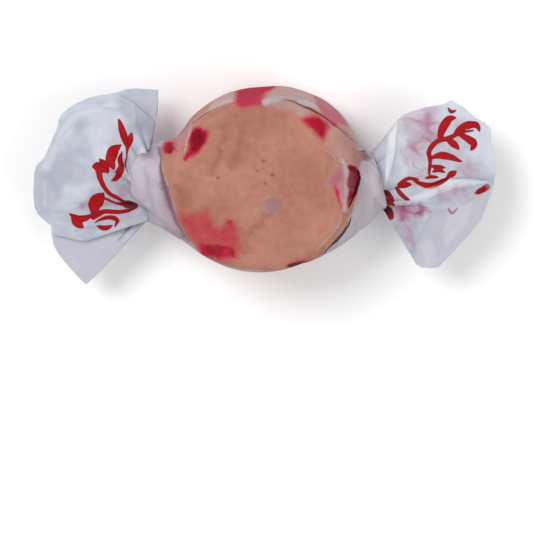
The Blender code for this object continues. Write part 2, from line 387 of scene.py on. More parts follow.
def pleatReach(angle, depth):
    # the gathers: sharp valleys and round crests, uneven in width and height
    warped = angle + sum(size * np.sin(waves * angle + phase) for size, waves, phase in pleats["warp"])
    valley = 1.0 - np.abs(np.sin(pleats["count"] / 2 * warped)) ** pleats["sharpness"]
    size, waves, phase = pleats["sway"]
    return pleats["crest"] - depth * valley * (1.0 - size + size * np.sin(waves * angle + phase))


def cuffShare(end, ringAngle):
    degrees = np.degrees(ringAngle) % 360
    front = smooth(*end["cuffRise"], degrees) * smooth(*end["cuffFall"][::-1], degrees)
    back = pleats["backCuff"] * np.clip(-np.sin(ringAngle), 0.0, 1.0) ** pleats["backSpread"]
    return np.maximum(front, back)


def neckPlace(end, angle, twisted, cuff, depth):
    # angle is the paper's own place round the tube, before the twist
    ring = angle + end["side"] * math.radians(end["twist"]) * twisted
    gathered = ring + end["gather"] * np.sin(ring)
    reach = pleatReach(angle, depth)
    bulge = cuffShare(end, gathered) * cuff
    x = end["neckX"] + end["cuffOut"] * bulge - end["slant"] * np.cos(gathered)
    y = end["neckY"] + (end["neckHalfY"] * reach + pleats["cuffSpread"] * bulge) * np.cos(gathered)
    z = axisZ + (end["neckHalfZ"] * reach + end["cuffLift"] * bulge) * np.sin(gathered)
    return np.stack([end["side"] * x, y, z], axis=-1)


def conePlace(end, turn, share):
    # from where the paper leaves the disc (0) out to the crest of the cuff (1)
    leave = bodyPlace(end, turn, 1.0)
    crest = neckPlace(end, 2 * math.pi * turn, pleats["cuffTwist"], 1.0, pleats["depth"] * pleats["atCuff"])
    leaveY, leaveZ = leave[..., 1], leave[..., 2] - axisZ
    crestY, crestZ = crest[..., 1] - end["neckY"], crest[..., 2] - axisZ
    startAngle = np.arctan2(leaveZ, leaveY)
    twist = end["side"] * math.radians(end["twist"]) * pleats["cuffTwist"]
    turned = np.arctan2(crestZ, crestY) - startAngle - twist
    turned = (turned + math.pi) % (2 * math.pi) - math.pi + twist
    angle = startAngle + turned * share ** pleats["lateTurn"]
    lean = leaveY / np.hypot(leaveY, leaveZ)
    sideEase = np.where(lean > 0, end["easeTop"], end["easeBottom"])
    ease = blend(end["easeFront"], sideEase, lean ** 2)
    reach = blend(np.hypot(leaveY, leaveZ), np.hypot(crestY, crestZ), share ** ease)
    x = blend(leave[..., 0], crest[..., 0], share)
    y = end["neckY"] * share + reach * np.cos(angle)
    return np.stack([x, y, axisZ + reach * np.sin(angle)], axis=-1)


def edgeSamples(points, count):
    # places along a cut edge, with every corner of it kept, so that a fold stays sharp
    corners = np.array(points)
    spans = np.linalg.norm(np.diff(corners, axis=0), axis=1)
    steps = np.maximum(1, np.round(spans / spans.sum() * count).astype(int))
    while steps.sum() != count:
        steps[np.argmax(steps)] += 1 if steps.sum() < count else -1
    places = [blend(first, second, step / number)
              for first, second, number in zip(corners, corners[1:], steps) for step in range(number)]
    return np.array(places + [corners[-1]])


def gridPiece(name, places):
    # a grid primitive moved to the given places, [row, column, xyz]
    rows, columns = places.shape[:2]
    bpy.ops.object.select_all(action="DESELECT")
    bpy.ops.mesh.primitive_grid_add(x_subdivisions=rows - 1, y_subdivisions=columns - 1, size=2)
    piece = bpy.context.object
    piece.name = piece.data.name = name
    spots = np.empty(len(piece.data.vertices) * 3)
    piece.data.vertices.foreach_get("co", spots)
    spots = spots.reshape(-1, 3)
    row = np.round((spots[:, 0] + 1) / 2 * (rows - 1)).astype(int)
    column = np.round((spots[:, 1] + 1) / 2 * (columns - 1)).astype(int)
    piece.data.vertices.foreach_set("co", (places[row, column] * mm).ravel())
    return piece, row, column


def paintPoints(piece, masks, row, column):
    for name, mask in masks.items():
        layer = piece.data.attributes.new(name, "FLOAT", "POINT")
        layer.data.foreach_set("value", np.ascontiguousarray(mask[row, column], dtype=np.float32).ravel())


def finishSheet(piece, thickness, topPoint):
    # closes the seam, turns the faces outwards and gives the paper its thickness
    seamGap = 0.002
    bpy.ops.object.mode_set(mode="EDIT")
    bpy.ops.mesh.select_all(action="SELECT")
    bpy.ops.mesh.remove_doubles(threshold=seamGap * mm)
    bpy.ops.mesh.normals_make_consistent(inside=False)
    bpy.ops.object.mode_set(mode="OBJECT")
    nearest = min(piece.data.polygons, key=lambda face: (face.center - Vector(topPoint)).length)
    if nearest.normal.z < 0:
        bpy.ops.object.mode_set(mode="EDIT")
        bpy.ops.mesh.select_all(action="SELECT")
        bpy.ops.mesh.flip_normals()
        bpy.ops.object.mode_set(mode="OBJECT")
    wall = piece.modifiers.new("wall", "SOLIDIFY")
    wall.thickness = thickness * mm
    wall.offset = -1.0
    bpy.ops.object.modifier_apply(modifier="wall")
    piece.data.shade_smooth()


def paperNormals(places):
    alongRows = np.gradient(places, axis=0)
    alongColumns = np.gradient(places, axis=1)
    normals = np.cross(alongColumns, alongRows)
    return normals / np.maximum(np.linalg.norm(normals, axis=-1, keepdims=True), 1 / farAway ** 3)


# The tube: the paper round the disc, its two cones and their cuffs
tube = {
    "columns": 308,
    "frontShare": 0.66,     # of the columns that lie on the shown face
    "bodyRows": 100,
    "coneRows": 22,
    "tuckRows": 6,
    "crowding": 1.15,       # over 1, the rows crowd towards the sides of the disc
    "tuckShape": 1.3,       # how the cuff's bulge goes down into the twist
    "paper": 0.1,
    "tight": 0.1,           # mm off the disc that still counts as tight
    "looseAt": 2.0,         # mm off it where the paper is quite loose
    "undulation": ((0.09, 6.0, 1.0), (0.0315, 1.6, 2.0)),   # waves as (height, size, seed)
    "tightWaves": 0.5,      # the share of them where the paper is tight
    "crumple": {"seed": 4, "count": 70, "rangeX": (-15, 15), "rangeY": (-11, 11),
                "length": (1.0, 3.5), "width": (0.25, 0.7), "rise": 0.05},
    "crumpleSlant": 0.7,            # how much the creases shift with the height, on the walls
    "crumpling": (0.4, 1.6),        # how much of it shows on tight and on loose paper
    "reliefLimits": (-0.6, 0.7),
    "baseHeight": (0.8, 0.1),       # the base gets flat between these heights
    "baseReach": (11.0, 9.5),       # and between these distances from its middle
    "tiltOfMarks": 10.0,    # the marks are drawn on a plane that leans this far, as the rim shows at the top
    # where the marks of the shown side end: under the axis, but higher on the near wall and past it
    # on the far wall, with the heights and places between which they fade
    "underAxis": 1.0,
    "underFace": 4.0,
    "markFade": 2.5,
    "nearWallY": (-6.0, -9.0),
    "nearWallX": (11.5, 9.5),
    "farWallY": (1.5, 4.0),
    "farWallZ": (0.6, 2.0),
    "linesFrom": (-11.0, -8.0),     # thin lines fade in between these heights from the face
    # marks wander a little, as a melted edge does, by waves as above
    "wanderX": ((0.22, 1.5, 11.0), (0.14, 0.6, 12.0)),
    "wanderY": ((0.22, 1.5, 13.0), (0.14, 0.6, 14.0)),
    "outlineWander": 0.7,   # shares of that for the outline of touching, thin lines and streaks
    "lineWander": 0.1,
    "streakWander": 3.2,
    "redWaves": ((0.22, 1.9, 15.0), (0.14, 0.7, 16.0)),
    "redLevel": 0.9,
    "fullRed": 0.85,        # over this share the red loses its unevenness
    "offTaffy": (-0.08, 0.22),      # mm from the outline of touching, where the paper turns milky
    "hiddenOff": (0.05, 0.8),       # mm off the disc, the same for the hidden side
    "closeRight": 0.1,      # how much more of the candy shows through the right collar
    "rightCollar": (11.5, 13.0),
    "pitEdge": (2.0, 0.6),  # in radii of a pit
    "hiddenEdge": (0.35, -0.2),     # where a hidden piece fades, in shares of its half sizes
    # cherry pieces on the sides that the photo hides: (x, y, z, half length, half width, degrees)
    "hiddenCherries": (
        (-8.5, 8.0, 3.5, 2.0, 1.6, 40.0),
        (8.0, 8.4, 4.0, 2.2, 2.0, -40.0),
        (-3.0, -11.3, 6.0, 2.2, 1.6, 0.0),
        (6.5, -9.0, 4.5, 1.8, 1.8, 40.0),
        (-4.0, 5.0, 0.0, 3.0, 1.7, 30.0),
        (5.5, -3.0, 0.0, 2.4, 1.6, -50.0),
        (-6.5, -6.0, 0.0, 1.6, 1.2, 10.0),
        (3.0, 8.2, 0.0, 1.6, 1.0, 70.0),
    ),
    # folds on the shown side: (points, height, spread)
    "folds": (
        (((-12.5, 3.9), (-12.2, 1.0), (-11.2, -2.4), (-10.1, -6.0), (-8.6, -8.2), (-7.0, -9.9)), 0.16, 0.3),
        (((-13.1, 3.4), (-12.9, 0.8), (-12.1, -2.6), (-10.9, -5.8), (-9.4, -8.0)), -0.3, 0.35),
        (((-14.7, 2.6), (-14.0, 0.0), (-13.3, -3.2), (-11.7, -5.9), (-9.8, -7.9)), 0.36, 0.4),
        (((-13.0, 2.6), (-12.7, -0.7), (-12.3, -3.2), (-11.0, -6.2), (-8.6, -9.0)), 0.12, 0.2),
        (((-15.2, 1.6), (-14.6, -1.6), (-13.8, -4.4)), -0.36, 0.45),
        (((-16.6, 2.0), (-15.9, -0.4), (-15.0, -3.0)), 0.3, 0.4),
        (((12.7, 1.6), (12.4, -1.7), (11.4, -5.5), (9.6, -9.0)), 0.2, 0.3),
        (((10.5, -4.6), (10.0, -6.0), (8.5, -7.9), (7.0, -9.4)), 0.12, 0.28),
        (((11.3, -6.0), (10.0, -7.9), (8.1, -10.0)), -0.28, 0.28),
        (((13.8, 2.1), (14.3, -0.7), (13.5, -3.9), (12.0, -7.3)), -0.22, 0.5),
        (((14.6, 2.0), (15.1, -0.9), (14.7, -2.6)), 0.2, 0.4),
        (((10.5, 1.6), (11.1, 0.6), (11.4, -1.0), (10.9, -3.4), (10.5, -4.6)), 0.2, 0.28),
        (((-9.1, 6.9), (-7.7, 8.1), (-6.3, 8.9), (-4.9, 9.4)), -0.12, 0.3),
        (((5.4, 8.9), (6.2, 8.5), (7.3, 7.9)), -0.12, 0.3),
        (((0.6, 9.4), (2.8, 9.9), (5.2, 9.7), (7.5, 8.3)), 0.35, 0.4),
        (((-8.9, 7.3), (-9.5, 5.0), (-10.6, 3.4)), 0.12, 0.28),
    ),
    # edges of paper on paper, with the higher side on the left of the line
    "edges": (
        (((5.4, 9.0), (7.3, 8.0), (8.5, 7.4), (10.2, 6.1), (11.6, 5.1), (12.7, 4.2)), 0.22, 1.6),
        (((9.8, 1.9), (11.1, 1.5), (12.6, 1.2)), 0.25, 0.8),
        (((12.5, 0.6), (12.0, -1.1), (11.3, -3.0), (10.9, -4.4)), 0.3, 0.7),
    ),
    # where the paper lies on the taffy, as an outline on the slanted drawing plane
    "touching": (
        (-12.6, 4.2), (-12.4, 1.2), (-11.7, -0.7), (-11.1, -2.6), (-10.7, -4.5), (-10.1, -6.0),
        (-8.7, -8.1), (-7.0, -10.0), (-4.6, -11.2), (-2.1, -12.6), (3.2, -13.2), (7.7, -10.3),
        (9.6, -8.3), (11.3, -5.6), (12.1, -2.2), (12.6, 0.6), (13.2, 3.4), (13.2, 5.6), (11.8, 9.4),
        (8.0, 12.6), (0.0, 13.6), (-6.5, 12.0), (-9.2, 8.6), (-11.2, 6.6),
    ),
    # paper that stands off the taffy inside that outline: (corners, softness, strength)
    "lifted": (
        (((-12.9, 4.2), (-11.0, 6.3), (-8.9, 7.9), (-8.8, 6.1), (-9.2, 5.0), (-9.7, 3.8),
          (-10.7, 3.1)), 0.25, 0.2),
        (((-9.4, 7.2), (-8.7, 7.5), (-9.3, 4.6), (-10.5, 3.1), (-10.6, 4.1)), 0.25, 0.34),
        (((-3.4, 14.0), (3.4, 14.0), (1.6, 10.6), (0.2, 9.0), (-2.5, 8.6), (-3.4, 9.5)), 0.4, 0.06),
        (((1.0, 9.4), (2.4, 14.0), (6.8, 13.4), (7.4, 9.2), (6.4, 8.4), (5.6, 7.7), (3.9, 8.4),
          (1.2, 8.9)), 0.4, 0.24),
        (((-6.8, 9.0), (-5.6, 12.4), (-3.4, 12.6), (-3.5, 9.6), (-5.0, 9.3)), 0.3, 0.4),
        (((0.3, 9.8), (1.3, 10.2), (2.8, 10.2), (4.5, 10.1), (6.2, 9.7), (7.2, 9.1), (7.9, 8.3),
          (7.2, 8.4), (6.4, 8.8), (5.5, 9.1), (4.6, 9.6), (3.2, 9.8), (2.2, 9.5), (1.1, 9.2),
          (0.3, 9.3)), 0.38, 0.9),
        (((6.3, 14.0), (8.6, 13.0), (11.4, 9.8), (12.4, 7.4), (11.6, 6.5), (10.2, 6.6), (8.9, 7.1),
          (7.9, 7.8), (7.8, 8.5), (7.0, 9.6)), 0.3, 0.22),
        (((10.0, 6.6), (12.0, 7.4), (13.6, 5.0), (12.9, 4.3), (11.4, 5.4)), 0.4, 0.3),
        (((8.4, 6.6), (10.2, 6.0), (12.8, 4.2), (13.0, 1.6), (11.0, 1.8), (9.9, 2.8),
          (8.7, 4.4)), 0.6, 0.14),
        (((10.1, 2.6), (9.8, 1.5), (9.3, 0.7), (8.6, -0.2), (8.1, -0.8), (8.8, -1.2), (9.6, -1.0),
          (10.2, -1.8), (10.3, -3.2), (10.7, -4.3), (10.9, -2.6), (10.9, -1.0), (10.8, 0.4), (10.8, 1.5),
          (10.5, 2.2)), 0.22, 0.36),
        (((10.2, 2.5), (10.6, 2.3), (11.0, 1.6), (11.25, 0.6), (11.2, -1.0), (11.05, -2.6), (10.8, -4.4),
          (10.5, -4.2), (10.75, -2.6), (10.85, -1.0), (10.8, 0.4), (10.5, 1.4)), 0.14, 0.66),
        (((11.3, 0.9), (11.9, 0.8), (12.0, -0.6), (11.6, -1.7), (11.3, -1.6)), 0.25, 0.22),
        (((0.6, -2.7), (1.2, -2.4), (1.9, -2.4), (2.6, -2.8), (2.9, -3.5), (2.6, -4.2), (1.8, -4.5),
          (1.0, -4.2), (0.6, -3.6)), 0.4, 0.52),
        (((2.1, -3.2), (2.5, -3.2), (2.4, -3.7), (2.1, -3.7)), 0.2, 0.8),
    ),
    # paper pressed on the taffy outside that outline
    "pressed": (
        (((-12.4, 4.7), (-11.6, 5.0), (-10.8, 4.6), (-10.5, 3.5), (-11.4, 2.7), (-12.3, 3.2)), 0.3, 0.9),
    ),
    # thin lines where a fold lifts: (points, widths at start, middle and end, strength)
    "liftedLines": (
        (((8.7, 6.85), (9.8, 6.1), (11.2, 5.05), (12.7, 3.9)), (0.06, 0.16, 0.1), 0.42),
        (((-8.7, 7.4), (-8.8, 6.2), (-9.2, 4.8), (-9.6, 3.0)), (0.1, 0.34, 0.1), 0.5),
        (((10.5, -4.4), (10.0, -6.0), (8.5, -7.9), (7.0, -9.4)), (0.08, 0.2, 0.08), 0.3),
        (((11.9, -3.2), (11.2, -5.2), (9.8, -7.4), (8.2, -9.3)), (0.06, 0.16, 0.06), 0.22),
        (((-8.7, -8.3), (-7.0, -10.2), (-4.6, -11.2), (-2.1, -11.8), (1.0, -11.8)), (0.1, 0.3, 0.1), 0.55),
        (((-11.6, -1.2), (-11.1, -3.0), (-10.4, -5.2)), (0.1, 0.34, 0.1), 0.8),
        (((-6.2, 9.2), (-4.6, 9.8), (-3.2, 10.0)), (0.06, 0.3, 0.1), 0.55),
        (((10.8, 1.7), (11.4, 1.9), (12.1, 1.75), (12.7, 1.2)), (0.06, 0.12, 0.06), 0.4),
        (((-12.6, 4.1), (-12.3, 1.2), (-11.6, -0.8), (-11.2, -2.2)), (0.06, 0.16, 0.08), 0.5),
        (((8.4, 3.5), (9.4, 2.7), (9.9, 1.6)), (0.05, 0.14, 0.05), 0.22),
        (((-13.6, 2.9), (-13.0, 0.2), (-12.2, -3.0), (-10.6, -6.4)), (0.08, 0.22, 0.08), 0.9),
    ),
    # cherry pieces: (corners, softness, strength)
    "cherry": (
        (((-8.7, 6.1), (-8.1, 6.5), (-7.3, 6.4), (-6.6, 5.9), (-6.4, 5.2), (-7.0, 4.2), (-7.6, 3.3),
          (-8.6, 2.5), (-9.4, 2.0), (-9.6, 2.3), (-9.2, 3.6), (-9.0, 5.1)), 0.26, 1.0),
        (((-12.6, 4.2), (-11.0, 6.0), (-8.9, 7.6), (-8.8, 6.1), (-9.2, 5.0), (-9.7, 3.8),
          (-10.7, 3.1)), 0.3, 0.72),
        (((-12.3, 4.6), (-11.6, 4.9), (-10.9, 4.5), (-10.7, 3.5), (-11.4, 2.9), (-12.2, 3.3)), 0.18, 1.0),
        (((-3.1, 14.0), (0.9, 14.0), (2.4, 12.0), (0.9, 10.8), (0.2, 9.1), (-1.2, 8.9), (-2.5, 8.6),
          (-3.4, 9.5)), 0.45, 1.0),
        (((6.3, 14.0), (8.6, 13.0), (11.4, 9.8), (12.2, 7.4), (11.4, 6.6), (10.6, 6.6), (10.0, 6.8),
          (9.5, 6.3), (8.9, 6.9), (7.9, 7.6), (7.8, 8.5), (7.0, 9.5)), 0.3, 0.95),
        (((5.1, 7.4), (5.9, 7.8), (7.3, 7.9), (7.9, 7.6), (9.1, 6.6), (8.6, 5.2), (8.1, 4.4), (7.5, 5.1),
          (6.8, 5.8), (5.9, 6.6)), 0.42, 1.0),
        (((11.0, 1.5), (11.5, 1.7), (12.1, 1.5), (12.6, 0.9), (12.6, -0.3), (12.1, -1.8), (11.5, -2.8),
          (11.1, -3.8), (11.1, -2.0), (11.15, 0.0)), 0.14, 1.0),
        (((9.5, -1.0), (10.2, -0.8), (10.5, -1.6), (10.5, -2.8), (10.4, -4.0), (9.9, -2.9),
          (9.6, -1.9)), 0.2, 1.0),
        (((10.2, 1.8), (10.8, 0.6), (10.9, -1.2), (10.9, -2.8), (10.4, -3.4), (9.3, -1.1), (8.7, -0.7),
          (9.5, 0.8)), 0.3, 0.78),
        (((-10.2, -4.2), (-9.4, -4.6), (-8.5, -4.4), (-6.7, -4.1), (-6.1, -5.2), (-5.9, -6.0),
          (-4.8, -6.3), (-3.8, -5.4), (-2.9, -5.8), (-2.5, -7.3), (-2.4, -9.2), (-2.8, -10.1),
          (-3.8, -10.2), (-5.3, -10.1), (-7.2, -9.4), (-8.1, -8.5), (-8.9, -7.4), (-9.8, -6.1)), 0.8, 0.8),
        (((-8.2, -8.2), (-6.8, -7.9), (-5.0, -8.1), (-3.1, -8.4), (-2.7, -10.2), (-3.8, -10.5),
          (-5.3, -10.5), (-7.3, -10.1)), 0.6, 0.97),
        (((-4.3, -5.3), (-3.5, -5.2), (-3.3, -5.9), (-3.9, -6.2), (-4.4, -5.9)), 0.35, 0.9),
        (((-5.3, -6.5), (-4.5, -6.4), (-4.1, -7.0), (-4.8, -7.4)), 0.4, 0.9),
        (((3.2, -11.0), (4.7, -10.5), (6.8, -10.1), (7.3, -10.9), (6.0, -11.9), (3.9, -11.9)), 0.3, 0.6),
    ),
    # darker cherry, and painted shadow in the pocket on the right: (corners, softness, strength)
    "deepCherryAndShade": (
        (((-8.6, 5.8), (-7.5, 6.1), (-6.9, 5.5), (-7.2, 4.4), (-8.0, 3.4), (-8.8, 3.6)), 0.5, 1.0),
        (((-12.1, 4.4), (-11.5, 4.6), (-11.0, 3.8), (-11.5, 3.1)), 0.3, 0.9),
        (((6.2, 7.4), (7.6, 7.5), (8.6, 6.5), (8.2, 5.2), (7.6, 5.4)), 0.5, 0.5),
        # painted shadow: the pocket's dark red where the fold opens
        (((11.0, 1.7), (12.4, 1.5), (12.6, 0.0), (12.1, -1.6), (11.3, -3.4), (11.2, -1.4),
          (11.2, 0.4)), 0.2, 1.0),
        (((-7.3, -8.6), (-6.2, -8.3), (-4.9, -8.7), (-4.7, -9.6), (-5.8, -10.0), (-6.9, -9.5)), 0.6, 0.55),
        (((-4.0, -9.0), (-3.2, -8.8), (-3.0, -9.8), (-3.7, -10.1)), 0.5, 0.75),
        (((-4.1, -5.5), (-3.6, -5.4), (-3.5, -5.9), (-3.9, -6.0)), 0.35, 0.5),
        (((-5.2, -6.6), (-4.4, -6.5), (-4.3, -7.1), (-5.0, -7.2)), 0.4, 0.35),
        (((-3.2, 9.3), (-0.8, 9.0), (0.2, 11.2), (-3.0, 12.4)), 0.6, 0.2),
    ),
    # darker streaks in the taffy, and one broad painted shade over the upper left of the face: (points, half
    # width, softness, strength)
    "streaksAndShade": (
        (((-4.4, 7.4), (-4.5, 4.6), (-5.6, 2.1), (-6.3, -0.4)), 0.3, 0.9, 0.75),
        (((-2.3, 6.8), (-2.5, 3.8), (-3.9, 1.4)), 0.3, 1.0, 0.65),
        (((2.0, -4.2), (-0.2, -5.9), (-1.3, -7.4), (-1.3, -9.8)), 0.3, 0.9, 0.7),
        (((11.7, -4.0), (10.9, -6.2), (9.5, -8.0), (8.0, -9.5)), 0.15, 0.35, 0.5),
        (((-10.6, -0.8), (-9.6, -2.6), (-9.8, -3.8)), 0.4, 1.0, 0.7),
        (((-2.3, -6.2), (-2.2, -9.9)), 0.2, 0.8, 0.6),
        (((8.8, 3.4), (9.0, 1.6), (8.0, 0.2)), 0.1, 0.7, 0.4),
        (((2.4, 3.4), (2.9, 0.4), (2.5, -2.4)), 0.1, 0.6, 0.3),
        (((-6.8, -0.6), (-3.2, -1.6), (0.2, -1.2)), 0.1, 0.6, 0.25),
        (((-9.2, 1.4), (-8.4, -0.4), (-8.6, -2.4)), 0.1, 0.7, 0.3),
        # painted shade: a broad darker band over the upper left of the face
        (((-9.0, 3.0), (-5.0, 6.0), (-1.0, 6.4), (4.0, 6.8)), 2.0, 3.2, 0.2),
    ),
    # pits in the taffy, painted as dark spots of shade where the dents lie: (x, y, radius)
    "pits": ((0.5, 2.1, 0.16), (1.6, 0.4, 0.18), (1.9, 0.2, 0.1), (0.7, -0.7, 0.12), (-5.3, 0.0, 0.16),
             (-0.4, 0.9, 0.09), (-4.9, 3.3, 0.12), (-3.2, 2.4, 0.1), (4.2, -1.0, 0.08), (2.6, 3.4, 0.08)),
    # painted shadow in the gaps between layers and in creases: (points, widths at start, middle and end,
    # strength)
    "gaps": (
        (((-9.1, 6.9), (-7.7, 8.1), (-6.3, 8.9), (-4.9, 9.4)), (0.06, 0.17, 0.03), 0.9),
        (((2.3, 9.7), (3.9, 9.65), (4.8, 9.3), (5.6, 8.95), (6.3, 8.6), (7.0, 8.25), (7.8, 7.85),
          (8.8, 7.2), (12.8, 4.05)), (0.05, 0.19, 0.04), 0.8),
        (((11.7, -4.6), (11.2, -6.2), (10.0, -7.9), (8.1, -10.0)), (0.08, 0.36, 0.1), 0.9),
        (((12.3, 1.3), (12.6, 0.5), (12.3, -0.8), (11.8, -2.2), (11.0, -4.0)), (0.2, 0.42, 0.08), 0.95),
        (((3.4, -11.2), (5.0, -11.0), (7.2, -10.7)), (0.2, 0.7, 0.2), 0.8),
        # painted shade in the creases of the two collars
        (((-12.8, 3.9), (-12.6, 1.0), (-12.0, -1.6), (-11.3, -4.2)), (0.1, 0.22, 0.1), 0.3),
        (((13.6, 2.6), (14.4, 2.2), (15.2, 1.2), (15.7, 0.0)), (0.06, 0.14, 0.06), 0.4),
    ),
    # painted shade: greyish lilac where lifted paper at the rims, collars and pocket lies in shadow
    "lilacShadePatches": (
        (((0.3, -2.7), (1.8, -2.2), (3.1, -3.0), (3.0, -4.4), (1.4, -4.7), (0.3, -3.8)), 0.2, 0.8),
        (((10.1, 2.8), (9.6, 1.6), (9.1, 0.8), (8.6, 0.0), (8.1, -0.6), (8.9, -1.4), (9.8, -1.0),
          (10.5, -0.4), (10.5, 1.0)), 0.2, 0.5),
        (((11.3, 1.1), (12.1, 1.0), (12.1, -0.8), (11.5, -1.9), (11.3, -1.8)), 0.2, 0.75),
        (((-15.6, 3.4), (-14.9, 4.2), (-13.9, 3.7), (-13.8, 2.7), (-14.8, 2.6)), 0.5, 0.5),
        (((-13.0, 4.2), (-12.6, 4.0), (-12.4, 1.2), (-11.7, -0.7), (-10.9, -3.4), (-10.1, -6.0),
          (-8.7, -8.1), (-10.1, -7.3), (-11.5, -4.5), (-12.4, -2.2), (-12.9, 0.8)), 0.25, 0.9),
        (((12.7, 4.4), (13.6, 3.8), (14.4, 2.9), (13.8, 2.4), (12.8, 2.2)), 0.25, 0.9),
        (((12.6, -3.0), (13.6, -3.6), (13.0, -6.4), (11.2, -8.8), (10.0, -9.6), (11.5, -6.0)), 1.0, 0.12),
        (((-12.0, -5.4), (-10.6, -6.6), (-8.6, -9.0), (-7.4, -10.8), (-9.8, -9.4),
          (-12.6, -7.0)), 0.6, 0.3),
    ),
}


def tubePlaces():
    even = np.arange(tube["columns"] + 1) / tube["columns"]
    share = tube["frontShare"]
    columns = np.where(even < share, even / share * 0.5, 0.5 + (even - share) / (1.0 - share) * 0.5)
    coneShares = (np.arange(tube["coneRows"]) + 1) / tube["coneRows"]
    tuckShares = (np.arange(tube["tuckRows"]) + 1) / tube["tuckRows"]
    stations = np.linspace(-1.0, 1.0, tube["bodyRows"])
    stations = np.sign(stations) * (1.0 - (1.0 - np.abs(stations)) ** tube["crowding"])

    def endRows(end):
        rows = [conePlace(end, columns, share) for share in coneShares]
        for share in tuckShares:
            cuff = math.cos(math.pi / 2 * share) ** tube["tuckShape"]
            twisted = blend(pleats["cuffTwist"], 1.0, share)
            depth = blend(pleats["depth"] * pleats["atCuff"], pleats["waist"], share)
            rows.append(neckPlace(end, 2 * math.pi * columns, twisted, cuff, depth))
        return rows

    body = [bodyPlace(leftEnd if s < 0 else rightEnd, columns, abs(s)) for s in stations]
    return np.array(endRows(leftEnd)[::-1] + body + endRows(rightEnd))


def hiddenCherry(places):
    amount = np.zeros(places.shape[:2])
    for x, y, z, length, width, turn in tube["hiddenCherries"]:
        angle = math.radians(turn)
        gapX, gapY = places[..., 0] - x, places[..., 1] - y
        along = gapX * math.cos(angle) + gapY * math.sin(angle)
        across = -gapX * math.sin(angle) + gapY * math.cos(angle)
        above = places[..., 2] - z
        gap = np.sqrt((along / length) ** 2 + (across / width) ** 2 + (above / width) ** 2) - 1.0
        amount = np.maximum(amount, smooth(*tube["hiddenEdge"], gap))
    return amount


def tubeRelief(places, drawY, facing, standOff):
    # how far the paper rises or sinks at each place, with a base that stays flat
    x, y, z = places[..., 0], places[..., 1], places[..., 2]
    loose = smooth(0.0, tube["looseAt"], standOff)
    relief = ripple(x, y, z, tube["undulation"]) * (tube["tightWaves"] + loose)
    relief += (creased(x, drawY, tube["folds"]) + stepped(x, drawY, tube["edges"])) * facing
    crumpling = blend(*tube["crumpling"], loose)
    relief += crumpled(x, y + tube["crumpleSlant"] * z, tube["crumple"]) * crumpling
    middle = np.hypot(x / disc["stretch"], y - disc["centreY"])
    relief *= 1.0 - smooth(*tube["baseHeight"], z) * smooth(*tube["baseReach"], middle)
    return np.clip(relief, *tube["reliefLimits"])


def tubeMasks(places, drawY, facing, standOff):
    # how loose, red or streaked the paper looks at each place, and where shade is painted on it
    x, z = places[..., 0], places[..., 2]
    flat = np.zeros(x.shape)
    wanderX, wanderY = ripple(x, drawY, flat, tube["wanderX"]), ripple(x, drawY, flat, tube["wanderY"])

    def moved(share):
        return x + share * wanderX, drawY + share * wanderY

    offTaffy = smooth(*tube["offTaffy"], regionDistance(*moved(tube["outlineWander"]), tube["touching"]))
    lift = blend(smooth(*tube["hiddenOff"], standOff), offTaffy, facing)
    lift = np.maximum(lift, painted(*moved(1.0), tube["lifted"]) * facing)
    lift *= 1.0 - painted(*moved(1.0), tube["pressed"]) * facing
    lift *= 1.0 - tube["closeRight"] * smooth(*tube["rightCollar"], x)

    red = np.maximum(painted(*moved(1.0), tube["cherry"]) * facing, hiddenCherry(places) * (1.0 - facing))
    uneven = tube["redLevel"] + ripple(x, drawY, flat, tube["redWaves"])
    red = np.clip(red * blend(uneven, 1.0, smooth(tube["fullRed"], 1.0, red)), 0.0, 1.0)

    # the taffy's streaks, with painted shade over the upper left and in the pits
    streakAndShade = drawn(*moved(tube["streakWander"]), tube["streaksAndShade"])
    # painted shade: each pit gets a dark spot
    for pitX, pitY, radius in tube["pits"]:
        outer, inner = (share * radius for share in tube["pitEdge"])
        streakAndShade = np.maximum(streakAndShade, smooth(outer, inner, np.hypot(x - pitX, drawY - pitY)))

    masks = {
        "lift": lift,
        "red": red,
        "deep": painted(*moved(1.0), tube["deepCherryAndShade"]) * facing,
        "streakAndShade": streakAndShade * facing,
        # painted shade on lifted paper
        "lilacShade": painted(*moved(1.0), tube["lilacShadePatches"]) * facing,
    }
    upper = facing * smooth(*tube["linesFrom"], z - disc["height"])
    for name, lines in (("fold", tube["liftedLines"]), ("gap", tube["gaps"])):
        masks[name + "Line"], power = lineField(*moved(tube["lineWander"]), lines)
        masks[name + "Power"] = power * upper
    return masks


def makeTube():
    places = tubePlaces()
    x, y, z = places[..., 0], places[..., 1], places[..., 2]
    lean = math.radians(tube["tiltOfMarks"])
    drawY = y * math.cos(lean) - (z - axisZ) * math.sin(lean)
    nearWall = smooth(*tube["nearWallY"], y) * smooth(*tube["nearWallX"], np.abs(x))
    markFloor = blend(axisZ - tube["underAxis"], disc["height"] - tube["underFace"], nearWall)
    farWall = smooth(*tube["farWallY"], y) * smooth(*tube["farWallZ"], z)
    facing = np.maximum(smooth(markFloor, markFloor + tube["markFade"], z), farWall)
    middle = np.hypot(x / disc["stretch"], y - disc["centreY"])
    standOff = np.maximum(middle - disc["radius"] - tube["tight"], 0.0)

    masks = tubeMasks(places, drawY, facing, standOff)
    relief = tubeRelief(places, drawY, facing, standOff)
    piece, row, column = gridPiece("paperTube", places + paperNormals(places) * relief[..., None])
    paintPoints(piece, masks, row, column)
    finishSheet(piece, tube["paper"], (0, 0, disc["height"] * mm))
    return piece


